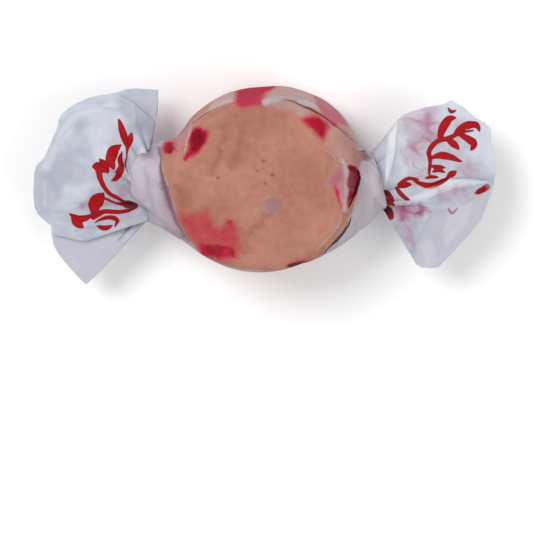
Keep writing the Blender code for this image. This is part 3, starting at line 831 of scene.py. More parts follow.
# The tails: each a flattened tube of paper that flares out of the twist
tails = {
    "frontColumns": 190,
    "backColumns": 80,
    "rows": 160,
    "paper": 0.08,
    "flatten": 2.0,         # over 1, the tail is flat soon after the twist
    "waveCentre": 1.5,      # mm inside the neck, where the waves fan out from
    "wavePhase": 0.7,
    "gathers": 9.0,         # waves round the twist
    "gathersWarp": (1.3, 3.0),              # uneven widths: (size, waves)
    "fineGathers": (0.6, 17.0, 0.8),        # (size, waves, phase)
    "gathersRise": 0.1,
    "gathersStart": 0.06,   # the share of the tail's length over which they start
    "gathersFade": 9.0,     # how fast they die away along it
    "surfaceStart": 0.2,    # the share over which the folds and creases start
    "undulation": ((0.1, 4.5, 5.0),),       # waves as (height, size, seed)
    "crumple": {"seed": 11, "count": 100, "rangeX": (-30, 31), "rangeY": (-13, 12),
                "length": (1.5, 5.0), "width": (0.3, 0.9), "rise": 0.09},
    "backCrumpling": 0.2,   # the share of it on the hidden layer
    "inkFar": 3.0,          # mm, the most that the distance to the print counts
    "inkWanderX": ((0.06, 0.8, 21.0),),
    "inkWanderY": ((0.06, 0.8, 22.0),),
    "bleedWander": ((0.5, 1.4, 23.0), (0.25, 0.5, 24.0)),
    "bleedWaves": ((4.0, 2.2, 25.0),),      # where these cross 0, the pink runs in veins
    "bleedPatches": ((0.3, 1.0, 26.0),),
    "bleedLevels": (0.6, 0.7),              # the pink between the veins, and what a vein adds
    "backBleed": 0.35,      # the share of the pink on the hidden layer
    "veinWander": 0.8,      # the share of bleedWander that moves the veins
    "veinLevel": 0.8,
    "veinPatches": ((0.5, 1.2, 27.0),),
    "darkSpread": 1.0,
    "darkInk": (0.05, 0.25),                # how dark a fold is where all ink shows at full strength
}
# Folds are (points, height, spread), edges the same with their higher side on the left, strokes of print
# (points, widths at start, middle and end), veins, where the print has run, (points, half width, softness,
# strength), washes of colour, of painted shade and of painted highlight (corners, softness, strength), and
# painted shade deep in a fold, (place, strength).
leftTail = {
    "folds": (
        (((-29.0, 1.3), (-27.9, 3.0), (-25.9, 7.0), (-24.7, 8.8), (-22.5, 9.6), (-19.5, 9.8),
          (-18.2, 9.0)), 0.2, 0.5),
        (((-16.0, 1.0), (-20.0, 4.0), (-26.0, 6.2)), -0.1, 0.7),
        (((-15.6, -2.4), (-19.0, -0.5), (-24.0, 0.6), (-28.4, 1.8)), 0.12, 0.6),
        (((-15.4, -3.2), (-19.0, -4.4), (-24.0, -6.0), (-27.6, -5.6)), 0.12, 0.5),
        (((-27.9, 2.4), (-28.2, -1.0), (-28.0, -4.4)), 0.14, 0.4),
        (((-17.2, 0.2), (-17.4, 1.6), (-16.9, 3.0)), -0.15, 0.25),
        (((-16.6, -1.6), (-18.6, -0.4), (-19.4, 0.9)), 0.14, 0.3),
        (((-24.0, 7.4), (-25.6, 5.2), (-26.0, 2.6)), -0.18, 0.3),
        (((-16.2, 10.8), (-16.1, 9.0), (-16.2, 6.6)), 0.15, 0.3),
        (((-27.9, 0.8), (-28.1, -0.9), (-28.0, -3.0)), -0.08, 0.3),
        (((-27.2, -3.9), (-24.0, -3.6), (-22.6, -2.6)), 0.2, 0.3),
        (((-25.6, 4.4), (-24.6, 3.0), (-22.6, 2.1)), 0.16, 0.3),
        (((-22.4, 7.6), (-20.6, 5.8), (-20.2, 3.0)), -0.14, 0.35),
        (((-20.6, 9.6), (-17.4, 9.4), (-14.8, 7.2)), 0.16, 0.3),
        (((-24.8, -6.8), (-22.4, -6.0), (-19.0, -6.2)), 0.14, 0.3),
    ),
    "edges": (),
    "strokes": (
        (((-18.3, 8.2), (-17.9, 6.9), (-17.5, 5.6), (-17.1, 4.5)), 0.05, 0.95, 0.45),
        (((-16.6, 6.3), (-16.8, 5.4), (-17.1, 4.5)), 0.15, 0.85, 0.5),
        (((-17.1, 4.6), (-17.2, 3.4), (-17.4, 2.2), (-17.0, 0.9)), 0.5, 0.2, 0.1),
        (((-18.0, 4.7), (-18.9, 4.0), (-19.3, 2.8), (-18.9, 1.6)), 0.3, 1.5, 0.3),
        (((-17.8, 3.9), (-18.1, 2.9), (-18.0, 2.0), (-18.6, 1.2)), 0.1, 0.7, 0.3),
        (((-21.7, 1.9), (-20.9, 1.9), (-20.0, 1.2)), 0.2, 1.2, 0.3),
        (((-20.7, 2.9), (-20.1, 2.1), (-19.7, 1.1)), 0.2, 1.0, 0.3),
        (((-20.9, 1.4), (-20.5, -0.1), (-19.7, -1.4), (-18.5, -2.2), (-17.0, -3.0)), 0.9, 0.6, 0.4),
        (((-19.3, 0.1), (-18.6, 0.4), (-18.0, 1.3), (-17.6, 2.2)), 0.1, 0.8, 0.1),
        (((-20.3, -1.6), (-20.9, -2.3), (-21.5, -3.2), (-21.6, -4.4)), 0.3, 1.9, 0.6),
        (((-21.7, -4.7), (-20.2, -4.1), (-17.9, -4.1), (-16.0, -3.5)), 1.0, 0.6, 0.2),
        (((-20.6, -2.0), (-19.5, -2.6), (-18.5, -3.0), (-17.0, -3.2)), 0.4, 0.35, 0.7),
        (((-24.7, -4.4), (-23.7, -5.0), (-22.9, -5.0), (-21.9, -4.6)), 0.3, 1.0, 0.3),
        (((-24.4, -4.6), (-23.9, -5.5), (-23.0, -6.2)), 0.2, 1.2, 0.2),
        (((-21.6, -5.6), (-20.4, -5.0), (-19.2, -4.9), (-18.6, -5.3), (-18.9, -6.1)), 0.1, 0.65, 0.2),
        (((-21.3, -6.0), (-20.2, -6.3), (-19.2, -5.9)), 0.1, 0.7, 0.1),
        (((-18.0, -3.0), (-17.2, -3.05), (-16.2, -3.1)), 0.5, 1.2, 0.9),
    ),
    "backStrokes": (
        (((-18.0, 5.0), (-19.5, 6.5), (-21.5, 7.2)), 0.2, 0.7, 0.1),
        (((-17.5, 1.0), (-20.0, 2.4), (-23.0, 2.6)), 0.15, 0.6, 0.2),
        (((-18.0, -3.5), (-20.5, -5.0), (-22.5, -7.5)), 0.2, 0.8, 0.15),
        (((-18.5, -1.0), (-21.0, -1.4), (-23.5, -0.8), (-24.6, 0.4)), 0.2, 0.45, 0.3),
    ),
    "inkLine": 1.0,         # the share of the front, from the top fold, that shows its printed side
    "veins": (
        (((-22.6, -3.6), (-21.4, -2.6), (-19.4, -3.6), (-17.6, -3.2)), 0.2, 0.6, 0.4),
        (((-18.8, -0.4), (-17.4, 0.2), (-16.6, -0.8), (-16.4, -2.2)), 0.2, 0.6, 0.4),
    ),
    "bleeds": (
        (((-19.1, 7.2), (-17.2, 6.5), (-16.5, 0.7), (-20.0, -2.2), (-21.6, 1.2), (-19.8, 3.5)), 0.9, 0.12),
        (((-22.7, -4.0), (-21.4, -2.0), (-16.6, -2.6), (-16.0, -3.6), (-18.2, -5.6),
          (-22.6, -6.0)), 0.8, 0.3),
        (((-19.2, 0.0), (-16.9, -0.7), (-16.2, -2.6), (-18.2, -2.3)), 0.6, 0.35),
        (((-23.4, -2.9), (-22.2, -2.2), (-21.9, -3.4), (-23.2, -4.0)), 0.5, 0.4),
    ),
    # painted shade on facets and flaps turned from the light; the lower flap is also a single, thinner layer
    "greyShades": (
        (((-18.2, 11.6), (-13.1, 12.0), (-13.0, 7.5), (-14.3, 7.5), (-16.0, 9.5)), 0.25, 0.3),
        (((-27.4, -7.4), (-25.7, -7.6), (-22.8, -8.2), (-19.5, -7.0), (-16.2, -5.7), (-18.5, -9.1),
          (-22.6, -14.4), (-26.8, -10.7)), 0.25, 0.75),
        (((-29.6, 2.0), (-27.9, 2.9), (-27.9, -4.5), (-29.6, -3.9)), 0.4, 0.42),
        (((-16.4, -3.6), (-14.4, -3.2), (-14.4, -6.2), (-17.6, -6.8), (-20.0, -6.6)), 0.6, 0.55),
        (((-25.7, 3.9), (-22.8, 2.0), (-19.5, 1.3), (-20.8, 0.2), (-24.0, 0.6), (-26.0, 2.0)), 0.5, 0.35),
        (((-28.3, 1.0), (-27.3, 1.3), (-27.0, -2.6), (-26.0, -3.9), (-27.3, -4.2),
          (-28.6, -2.3)), 0.3, 0.5),
    ),
    # painted highlights on facets that face the light
    "paintedHighlights": (
        (((-28.6, 1.5), (-25.6, 7.2), (-24.2, 9.0), (-19.0, 10.2), (-18.2, 9.4), (-23.4, 8.2),
          (-25.0, 5.8), (-27.4, 1.2)), 0.5, 0.5),
        (((-15.2, 4.6), (-16.6, 2.8), (-16.9, 0.2), (-16.2, 0.0), (-15.8, 2.2), (-14.8, 4.0)), 0.3, 0.7),
        (((-22.4, 9.4), (-18.5, 9.8), (-17.2, 7.2), (-18.2, 2.6), (-20.8, 2.0), (-22.1, 5.2)), 0.5, 0.4),
        (((-25.4, -0.6), (-22.0, -0.4), (-22.4, -2.6), (-25.8, -3.2)), 0.5, 0.4),
        (((-28.1, 0.2), (-27.8, 0.2), (-27.8, -3.4), (-28.1, -3.2)), 0.25, 0.3),
        (((-21.0, 7.6), (-20.7, 7.6), (-20.5, 3.4), (-20.8, 3.4)), 0.15, 0.5),
    ),
    # painted shade deep in the folds at the twist
    "paintedFoldShade": (((-17.6, -2.9), 0.55), ((-16.8, -3.1), 1.0), ((-20.4, -1.8), 0.2), ((-21.2, -4.6), 0.25)),
}
rightTail = {
    "folds": (
        (((16.4, -2.6), (17.0, 0.9), (17.4, 4.4)), 0.16, 0.4),
        (((16.5, 5.6), (16.6, 3.2), (16.2, -0.9)), -0.16, 0.18),
        (((17.0, -2.9), (19.8, 2.4), (21.0, 6.5)), 0.12, 0.5),
        (((17.2, -3.0), (22.5, 2.8), (26.0, 7.6)), -0.1, 0.6),
        (((22.1, -4.3), (20.3, -8.2), (20.0, -9.5)), 0.22, 0.25),
        (((23.8, -7.9), (22.8, -10.0)), 0.15, 0.25),
        (((22.1, -4.3), (25.7, -3.0), (28.1, -1.7)), 0.12, 0.3),
        (((23.8, -7.9), (26.0, -5.6)), -0.1, 0.4),
        (((18.2, 2.4), (20.6, 3.1), (22.6, 3.0)), 0.14, 0.3),
        (((19.0, 7.4), (20.4, 5.2), (20.2, 2.6)), -0.15, 0.3),
        (((21.4, 9.0), (22.4, 7.0), (22.6, 4.2)), 0.14, 0.3),
        (((25.6, 9.6), (27.0, 8.0), (29.4, 6.8)), -0.14, 0.3),
        (((29.0, 5.6), (28.8, 3.2), (29.6, 1.4)), 0.14, 0.3),
        (((24.0, 1.6), (26.6, 1.5), (29.2, 1.0)), -0.14, 0.35),
    ),
    "edges": (
        (((16.3, -1.6), (16.9, 0.9), (17.5, 3.9), (17.7, 6.1), (18.0, 7.8)), 0.3, 0.9),
    ),
    "strokes": (
        (((21.9, 1.0), (22.0, 2.6), (21.9, 4.0), (22.9, 5.2), (24.4, 5.6), (26.0, 6.3),
          (27.6, 6.6)), 0.35, 0.7, 0.2),
        (((23.2, 5.2), (23.5, 6.6), (24.4, 8.0), (25.4, 8.2)), 0.3, 1.15, 0.1),
        (((24.9, 5.9), (26.3, 7.1), (27.9, 7.3), (28.4, 6.4)), 0.2, 1.0, 0.1),
        (((25.6, 6.1), (26.9, 5.5), (27.7, 4.8), (27.2, 3.9)), 0.2, 1.05, 0.1),
        (((23.9, 5.6), (25.0, 4.9), (25.8, 4.1)), 0.2, 0.9, 0.1),
        (((22.0, 3.0), (23.3, 3.4), (24.8, 3.1), (26.2, 2.5)), 0.2, 0.95, 0.1),
        (((22.0, 2.0), (23.0, 1.9), (24.0, 1.8)), 0.2, 0.6, 0.1),
        (((22.3, 1.2), (23.0, 1.5), (23.9, 1.2)), 0.1, 0.6, 0.2),
        (((17.6, -0.7), (18.3, -1.7), (19.2, -2.4)), 0.3, 0.6, 0.4),
        (((17.9, -0.3), (19.1, 0.4), (20.5, 0.3)), 0.4, 0.5, 0.2),
        (((18.0, -0.6), (18.6, -0.45), (19.4, -0.4)), 0.5, 1.0, 0.5),
        (((19.6, 0.4), (20.8, -0.3), (22.2, -0.6), (23.4, -0.1), (24.4, 0.4)), 0.2, 0.8, 0.3),
        (((21.3, 0.4), (22.2, 0.6), (23.2, 0.5)), 0.1, 0.5, 0.1),
        (((24.2, 0.6), (24.8, 0.9), (25.4, 1.2)), 0.2, 0.9, 0.3),
        (((16.0, -3.4), (16.6, -4.0), (17.1, -4.9)), 0.9, 1.3, 0.7),
        (((16.0, -1.1), (16.6, -1.7), (17.3, -2.6)), 0.4, 0.75, 0.4),
        (((15.9, -2.0), (16.5, -2.6), (17.4, -3.2)), 0.4, 0.7, 0.3),
        (((24.3, 9.6), (24.7, 9.0), (25.4, 9.2)), 0.1, 0.5, 0.1),
        (((27.8, -1.6), (28.6, -1.25), (29.4, -0.7)), 0.1, 0.8, 0.9),
        (((24.4, -3.5), (25.0, -4.2), (25.7, -3.5)), 0.1, 0.4, 0.1),
    ),
    "backStrokes": (
        (((18.5, 4.5), (20.0, 6.3), (22.0, 7.4)), 0.2, 0.7, 0.1),
        (((18.0, 1.0), (21.0, 2.5), (24.0, 2.2), (25.2, 0.8)), 0.15, 0.5, 0.3),
        (((18.5, -3.0), (21.0, -4.6), (23.0, -7.0)), 0.2, 0.8, 0.15),
    ),
    "inkLine": 0.62,
    "veins": (
        (((18.9, 5.6), (19.8, 5.0), (20.8, 6.2), (21.6, 7.6), (22.4, 6.4), (22.8, 5.0)), 0.1, 0.24, 0.75),
        (((22.4, 5.4), (21.0, 4.6), (19.9, 3.4), (19.8, 2.2), (20.8, 1.4)), 0.1, 0.22, 0.7),
        (((20.4, 7.8), (21.0, 6.4), (20.2, 5.2), (20.6, 4.2)), 0.08, 0.2, 0.5),
        (((18.6, 0.6), (19.6, 0.2), (20.8, 0.7), (22.0, 0.6)), 0.1, 0.24, 0.65),
        (((18.4, 4.2), (18.6, 2.8), (19.6, 1.6)), 0.08, 0.22, 0.5),
        (((24.6, 0.9), (26.2, 1.0), (27.4, 0.8), (27.9, 2.2)), 0.12, 0.3, 0.6),
        (((22.6, 4.2), (23.4, 2.6), (25.2, 3.9), (26.4, 3.2)), 0.08, 0.3, 0.4),
        (((17.6, -3.4), (19.4, -3.6), (21.0, -3.2)), 0.4, 0.8, 0.7),
        (((17.6, -4.4), (19.0, -4.6), (20.6, -4.0)), 0.3, 0.6, 0.5),
        (((19.0, 8.2), (20.2, 7.2), (21.4, 8.4)), 0.08, 0.22, 0.55),
    ),
    "bleeds": (
        (((18.5, 8.6), (23.0, 9.4), (23.4, 5.9), (20.4, 2.4), (18.8, 2.6), (18.9, 6.5)), 0.9, 0.5),
        (((17.2, -3.1), (20.8, -2.8), (22.4, -4.3), (18.2, -5.7)), 0.7, 0.75),
        (((22.5, -0.5), (27.3, -0.5), (27.6, -2.3), (23.4, -2.6)), 0.7, 0.36),
        (((25.4, 3.0), (28.6, 2.6), (28.3, 0.7), (24.7, 1.0)), 0.7, 0.3),
        (((22.1, 7.6), (26.3, 8.1), (26.9, 4.6), (24.1, 0.9), (19.5, -1.3), (18.4, 0.3),
          (21.4, 2.6)), 0.8, 0.24),
        (((17.4, -5.6), (20.2, -5.0), (20.2, -9.0), (19.4, -8.6)), 0.8, 0.36),
    ),
    # painted shade on facets and flaps turned from the light
    "greyShades": (
        (((22.1, -4.3), (25.7, -3.0), (28.1, -1.7), (30.9, -1.2), (28.6, -5.9), (23.4, -11.9),
          (20.4, -11.9), (20.3, -8.2)), 0.2, 0.8),
        (((27.0, 9.4), (29.9, 7.2), (31.0, 1.2), (29.2, 1.6), (28.6, 6.0)), 0.6, 0.35),
        (((16.0, 5.6), (14.0, 4.2), (14.0, 1.2), (16.1, 0.6), (16.5, 3.4)), 0.4, 0.4),
    ),
    # painted highlights on the fold strip and on facets that face the light
    "paintedHighlights": (
        (((16.6, 5.7), (17.9, 7.9), (17.5, 3.9), (16.5, 0.4), (16.1, -0.9), (16.4, 3.0)), 0.2, 1.0),
        (((17.4, -2.9), (20.8, -1.6), (24.4, 0.2), (29.4, 0.0), (25.0, -0.9), (21.0, -2.6)), 0.3, 0.8),
        (((18.0, 9.0), (24.6, 11.0), (30.6, 7.4), (31.4, 1.2), (25.0, -0.4), (17.6, -1.6)), 0.8, 0.4),
        (((24.8, -3.6), (27.6, -2.6), (27.0, -5.6), (24.4, -8.6), (23.6, -7.0)), 0.35, 0.28),
        (((21.0, -8.4), (22.2, -7.6), (23.2, -10.8), (21.6, -11.4)), 0.3, 0.25),
    ),
    # painted shade deep in the folds at the twist
    "paintedFoldShade": (((16.3, -1.5), 0.8), ((16.6, -3.9), 1.0), ((28.7, -1.2), 0.35)),
}


def tailPlaces(end, look):
    frontEdge = edgeSamples(end["front"], tails["frontColumns"])
    backEdge = edgeSamples(end["back"], tails["backColumns"])[::-1]
    edge = np.concatenate([frontEdge[:-1], backEdge])
    frontRing = np.linspace(0.0, math.pi, tails["frontColumns"] + 1)[:-1]
    backRing = np.linspace(math.pi, 2 * math.pi, tails["backColumns"] + 1)
    ring = np.concatenate([frontRing, backRing])
    twist = end["side"] * math.radians(end["twist"])
    start = neckPlace(end, ring - twist, 1.0, 0.0, pleats["waist"])
    shares = np.linspace(0.0, 1.0, tails["rows"])[:, None]
    finish = edge + np.array([0.0, 0.0, axisZ])
    places = blend(start[None], finish[None], shares[..., None])
    x, y = places[..., 0], places[..., 1]

    flat = 1.0 - (1.0 - shares) ** tails["flatten"]
    lift = blend(start[None, :, 2], finish[None, :, 2], flat)
    lean = np.arctan2(y, np.abs(x) - end["neckX"] + tails["waveCentre"])
    lift += end["wave"] * shares * np.sin(end["waveCount"] * lean + tails["wavePhase"])
    warp, warpWaves = tails["gathersWarp"]
    fine, fineWaves, phase = tails["fineGathers"]
    gathers = np.sin(tails["gathers"] * ring + warp * np.sin(warpWaves * ring))
    gathers += fine * np.sin(fineWaves * ring + phase)
    gathersFade = np.exp(-shares * tails["gathersFade"]) * smooth(0.0, tails["gathersStart"], shares)
    lift += tails["gathersRise"] * gathers * gathersFade

    # the creases, edges and waves of the surface start a little way out of the twist
    onFront = np.arange(len(ring)) < len(frontRing)
    crumpling = crumpled(x, y, tails["crumple"]) * np.where(onFront, 1.0, tails["backCrumpling"])
    surface = creased(x, y, look["folds"]) + crumpling + stepped(x, y, look["edges"]) * onFront
    surface += ripple(x, y, np.zeros(x.shape), tails["undulation"])
    lift += surface * smooth(0.0, tails["surfaceStart"], shares)
    places[..., 2] = lift
    return places, len(frontRing)


def inkDistance(x, y, strokes):
    # distance to the nearest printed stroke, under 0 inside one
    nearest = np.full(x.shape, tails["inkFar"])
    for points, *widths in strokes:
        gap, along = lineDistance(x, y, smoothLine(points))[:2]
        nearest = np.minimum(nearest, gap - strokeWidth(along, *widths) / 2)
    return nearest


def tailMasks(x, y, isFront, inkSide, look):
    # the print, where it has run, and painted shade and highlights: greyer facets, white highlights and dark
    # folds
    flat = np.zeros(x.shape)
    inkX, inkY = x + ripple(x, y, flat, tails["inkWanderX"]), y + ripple(x, y, flat, tails["inkWanderY"])
    frontInk, backInk = [inkDistance(inkX, inkY, look[name]) for name in ("strokes", "backStrokes")]

    wander = ripple(x, y, flat, tails["bleedWander"])
    bleed = painted(x + wander, y - wander, look["bleeds"]) * np.where(isFront, 1.0, tails["backBleed"])
    clear = 1.0 - np.abs(ripple(x + wander, y - wander, flat, tails["bleedWaves"]))
    base, rise = tails["bleedLevels"]
    bleed *= base + rise * np.clip(clear, 0.0, 1.0) + ripple(x, y, flat, tails["bleedPatches"])
    wander *= tails["veinWander"]
    ran = drawn(x + wander, y - wander, look["veins"])
    ran *= tails["veinLevel"] + ripple(x, y, flat, tails["veinPatches"])
    bleed = np.maximum(bleed, ran * isFront)

    # painted shade deep in the folds, which also darkens the ink there
    dark = np.zeros(x.shape)
    for (darkX, darkY), strength in look["paintedFoldShade"]:
        gap = np.hypot(x - darkX, y - darkY) / tails["darkSpread"]
        dark = np.maximum(dark, strength * np.exp(-gap ** 2))
    return {
        "ink": np.where(isFront, frontInk, backInk),
        "inkSide": np.maximum(inkSide, smooth(*tails["darkInk"], dark)),
        "bleed": np.clip(bleed, 0.0, 1.0),
        "greyShade": painted(x, y, look["greyShades"]),
        "paintedHighlight": painted(x, y, look["paintedHighlights"]) * isFront,
        "dark": dark,
    }


def makeTail(name, end, look):
    places, frontCount = tailPlaces(end, look)
    columns = np.arange(places.shape[1])[None]
    isFront, inkSide = columns < frontCount, columns < frontCount * look["inkLine"]
    masks = tailMasks(places[..., 0], places[..., 1], isFront, inkSide, look)
    piece, row, column = gridPiece(name, places)
    paintPoints(piece, masks, row, column)
    finishSheet(piece, tails["paper"], places[tails["rows"] // 2, frontCount // 2] * mm)
    return piece


# In the materials a noise is (feature size in mm, detail) and a range is what becomes 0 and 1.
colorMix = {"data_type": "RGBA"}
softRange = {"interpolation_type": "SMOOTHSTEP"}
pressedPaper = {
    "cloud": (5.556, 5.0),
    "fleck": (0.909, 3.0),
    "grain": (0.4545, 3.0),
    "cloudy": (0.35, 0.65),
    "lineEdge": (1.3, 0.5),     # half widths of a thin line
    "tan": ("#b8836f", "#9c6555"),
    "tanFlecks": 1.3,
    "tanLevel": 0.55,
    # colour of the streaks, also used for painted shade
    "streakAndShade": "#8a4a3c",
    "cherry": ("#b01e3b", "#781420"),
    "cherryFlecks": 1.2,
    "cherryFrom": 0.58,
    "milky": ("#d3cdd6", "#c0b0bc"),
    # painted shade on lifted paper
    "lilacShade": "#8e6672",
    # painted shadow in gaps and creases
    "gap": "#320710",
    "shine": (0.5, 0.0),        # off the gaps and the red, and on them
    "through": 0.3,             # of the light, where the paper is off the taffy
    "surface": {"Roughness": 0.55, "IOR": 1.35},
    "fibre": {"Strength": 0.5, "Distance": 0.05 * mm},
}


def waxedPaperOnTaffy():
    # Waxed paper pressed on taffy: the wax fills the air gap, so the candy's own colour shows
    # through, and it turns milky white where the paper lifts off.
    look = pressedPaper
    material, tree = newMaterial("waxedPaperOnTaffy")
    spot = addNode(tree, "ShaderNodeTexCoord").outputs["Object"]
    masks = ("lift", "red", "deep", "streakAndShade", "lilacShade", "foldLine", "foldPower", "gapLine", "gapPower")
    lift, red, deep, streakAndShade, lilacShade, foldLine, foldPower, gapLine, gapPower = [
        addNode(tree, "ShaderNodeAttribute", {"attribute_name": name}).outputs["Fac"] for name in masks]
    cloud, fleck, grain = [
        addNode(tree, "ShaderNodeTexNoise", None,
                {"Vector": spot, "Scale": 1 / (size * mm), "Detail": detail}).outputs["Fac"]
        for size, detail in (look["cloud"], look["fleck"], look["grain"])]

    onLines = []
    start, full = look["lineEdge"]
    # the gap lines paint shadow into gaps and creases
    for line, power in ((foldLine, foldPower), (gapLine, gapPower)):
        away = addNode(tree, "ShaderNodeMath", {"operation": "ABSOLUTE"}, {0: line}).outputs[0]
        near = addNode(tree, "ShaderNodeMapRange", softRange, {0: away, 1: start, 2: full}).outputs[0]
        on = addNode(tree, "ShaderNodeMath", {"operation": "MULTIPLY"}, {0: near, 1: power}).outputs[0]
        onLines.append(on)
    fold, gap = onLines
    lift = addNode(tree, "ShaderNodeMath", {"operation": "MAXIMUM"}, {0: lift, 1: fold}).outputs[0]

    low, high = look["cloudy"]
    cloudy = addNode(tree, "ShaderNodeMapRange", None, {0: cloud, 1: low, 2: high}).outputs[0]
    speckled = addNode(tree, "ShaderNodeMath", {"operation": "MULTIPLY_ADD"},
                       {0: fleck, 1: look["tanFlecks"], 2: cloudy}).outputs[0]
    speckled = addNode(tree, "ShaderNodeMath", {"operation": "MULTIPLY"},
                       {0: speckled, 1: look["tanLevel"]}).outputs[0]
    depth = addNode(tree, "ShaderNodeMath", {"operation": "MULTIPLY_ADD"},
                    {0: fleck, 1: look["cherryFlecks"], 2: deep}).outputs[0]
    depth = addNode(tree, "ShaderNodeMath", {"operation": "SUBTRACT", "use_clamp": True},
                    {0: depth, 1: look["cherryFrom"]}).outputs[0]
    tan, cherry, milky = [
        addNode(tree, "ShaderNodeMix", colorMix, {0: share, 6: hexColor(a), 7: hexColor(b)}).outputs[2]
        for share, (a, b) in ((speckled, look["tan"]), (depth, look["cherry"]), (cloudy, look["milky"]))]
    # lifted paper turns lilac grey where shade is painted on it
    loose = addNode(tree, "ShaderNodeMix", colorMix,
                    {0: lilacShade, 6: milky, 7: hexColor(look["lilacShade"])}).outputs[2]
    color = tan
    # streakAndShade lays the taffy's streaks and painted shade into the colour
    for share, over in ((streakAndShade, hexColor(look["streakAndShade"])), (red, cherry), (lift, loose),
                        (gap, hexColor(look["gap"]))):
        color = addNode(tree, "ShaderNodeMix", colorMix, {0: share, 6: color, 7: over}).outputs[2]

    dull = addNode(tree, "ShaderNodeMath", {"operation": "MAXIMUM"}, {0: gap, 1: red}).outputs[0]
    glossy, matt = look["shine"]
    shine = addNode(tree, "ShaderNodeMapRange", None, {0: dull, 3: glossy, 4: matt}).outputs[0]
    through = addNode(tree, "ShaderNodeMath", {"operation": "MULTIPLY"},
                      {0: lift, 1: look["through"]}).outputs[0]
    finishPaper(tree, look, color, grain, through, shine)
    return material


loosePaper = {
    "cloud": (5.0, 4.0),
    "mottle": (1.613, 5.0),
    "grain": (0.6667, 4.0),
    "cloudy": (0.3, 0.7),
    "mottling": 2.4,
    "mottleFrom": 1.2,
    "plain": ("#d3d8e3", "#bfc5d2"),
    # painted shade on facets
    "greyShade": "#cfccd6",
    # painted highlight
    "paintedHighlight": "#eff1f7",
    "bleed": "#b0527a",
    "ink": ("#ba0212", "#4a0309"),
    "inkEdge": (0.05, -0.05),   # mm from a stroke's outline
    "rim": (-0.3, 0.0),         # mm from it, where the ink is darker
    "rimLevel": 0.4,
    "otherSide": 0.6,           # how strong the ink shows from the paper's other side
    "shine": 0.5,
    "through": 0.3,
    "surface": {"Roughness": 0.5, "IOR": 1.33},
    "fibre": {"Strength": 0.4, "Distance": 0.06 * mm},
}


def waxedPaperLoose():
    # Loose waxed paper: thin, milky and slightly blue, with light coming through it, printed in red
    look = loosePaper
    material, tree = newMaterial("waxedPaperLoose")
    spot = addNode(tree, "ShaderNodeTexCoord").outputs["Object"]
    ink, inkSide, bleed, greyShade, paintedHighlight, dark = [
        addNode(tree, "ShaderNodeAttribute", {"attribute_name": name}).outputs["Fac"]
        for name in ("ink", "inkSide", "bleed", "greyShade", "paintedHighlight", "dark")]
    cloud, mottle, grain = [
        addNode(tree, "ShaderNodeTexNoise", None,
                {"Vector": spot, "Scale": 1 / (size * mm), "Detail": detail}).outputs["Fac"]
        for size, detail in (look["cloud"], look["mottle"], look["grain"])]

    low, high = look["cloudy"]
    mottled = addNode(tree, "ShaderNodeMapRange", None, {0: cloud, 1: low, 2: high}).outputs[0]
    mottled = addNode(tree, "ShaderNodeMath", {"operation": "MULTIPLY_ADD"},
                      {0: mottle, 1: look["mottling"], 2: mottled}).outputs[0]
    mottled = addNode(tree, "ShaderNodeMath", {"operation": "SUBTRACT", "use_clamp": True},
                      {0: mottled, 1: look["mottleFrom"]}).outputs[0]
    outside, inside = look["inkEdge"]
    inInk = addNode(tree, "ShaderNodeMapRange", softRange, {0: ink, 1: outside, 2: inside}).outputs[0]
    strong = addNode(tree, "ShaderNodeMapRange", None, {0: inkSide, 3: look["otherSide"], 4: 1.0}).outputs[0]
    printed = addNode(tree, "ShaderNodeMath", {"operation": "MULTIPLY"}, {0: inInk, 1: strong}).outputs[0]
    deepest, edge = look["rim"]
    rim = addNode(tree, "ShaderNodeMapRange", None,
                  {0: ink, 1: deepest, 2: edge, 3: 0.0, 4: look["rimLevel"]}).outputs[0]
    dark = addNode(tree, "ShaderNodeMath", {"operation": "MAXIMUM"}, {0: dark, 1: rim}).outputs[0]
    color, red = [
        addNode(tree, "ShaderNodeMix", colorMix, {0: share, 6: hexColor(a), 7: hexColor(b)}).outputs[2]
        for share, (a, b) in ((mottled, look["plain"]), (dark, look["ink"]))]
    # greyShade paints shade and paintedHighlight paints highlights into the paper's colour
    for share, over in ((greyShade, hexColor(look["greyShade"])), (paintedHighlight, hexColor(look["paintedHighlight"])),
                        (bleed, hexColor(look["bleed"])), (printed, red)):
        color = addNode(tree, "ShaderNodeMix", colorMix, {0: share, 6: color, 7: over}).outputs[2]
    finishPaper(tree, look, color, grain, look["through"], look["shine"])
    return material


def finishPaper(tree, look, color, grain, through, shine):
    # the fibres' fine bumps, a soft shine, and some light that comes through the sheet
    bump = addNode(tree, "ShaderNodeBump", None, {"Height": grain, **look["fibre"]}).outputs[0]
    front = addNode(tree, "ShaderNodeBsdfPrincipled", None,
                    {"Base Color": color, "Normal": bump, "Specular IOR Level": shine, **look["surface"]})
    glow = addNode(tree, "ShaderNodeBsdfTranslucent", None, {"Color": color, "Normal": bump})
    mixed = addNode(tree, "ShaderNodeMixShader", None, {0: through, 1: front.outputs[0], 2: glow.outputs[0]})
    addNode(tree, "ShaderNodeOutputMaterial", None, {"Surface": mixed.outputs[0]})


candy = {
    "cloud": (6.25, 4.0),
    "redRange": (0.62, 0.68),
    "colors": ("#b88373", "#a21e33"),
    "surface": {"Roughness": 0.5, "IOR": 1.45, "Subsurface Weight": 0.15, "Subsurface Scale": 1.0 * mm},
}


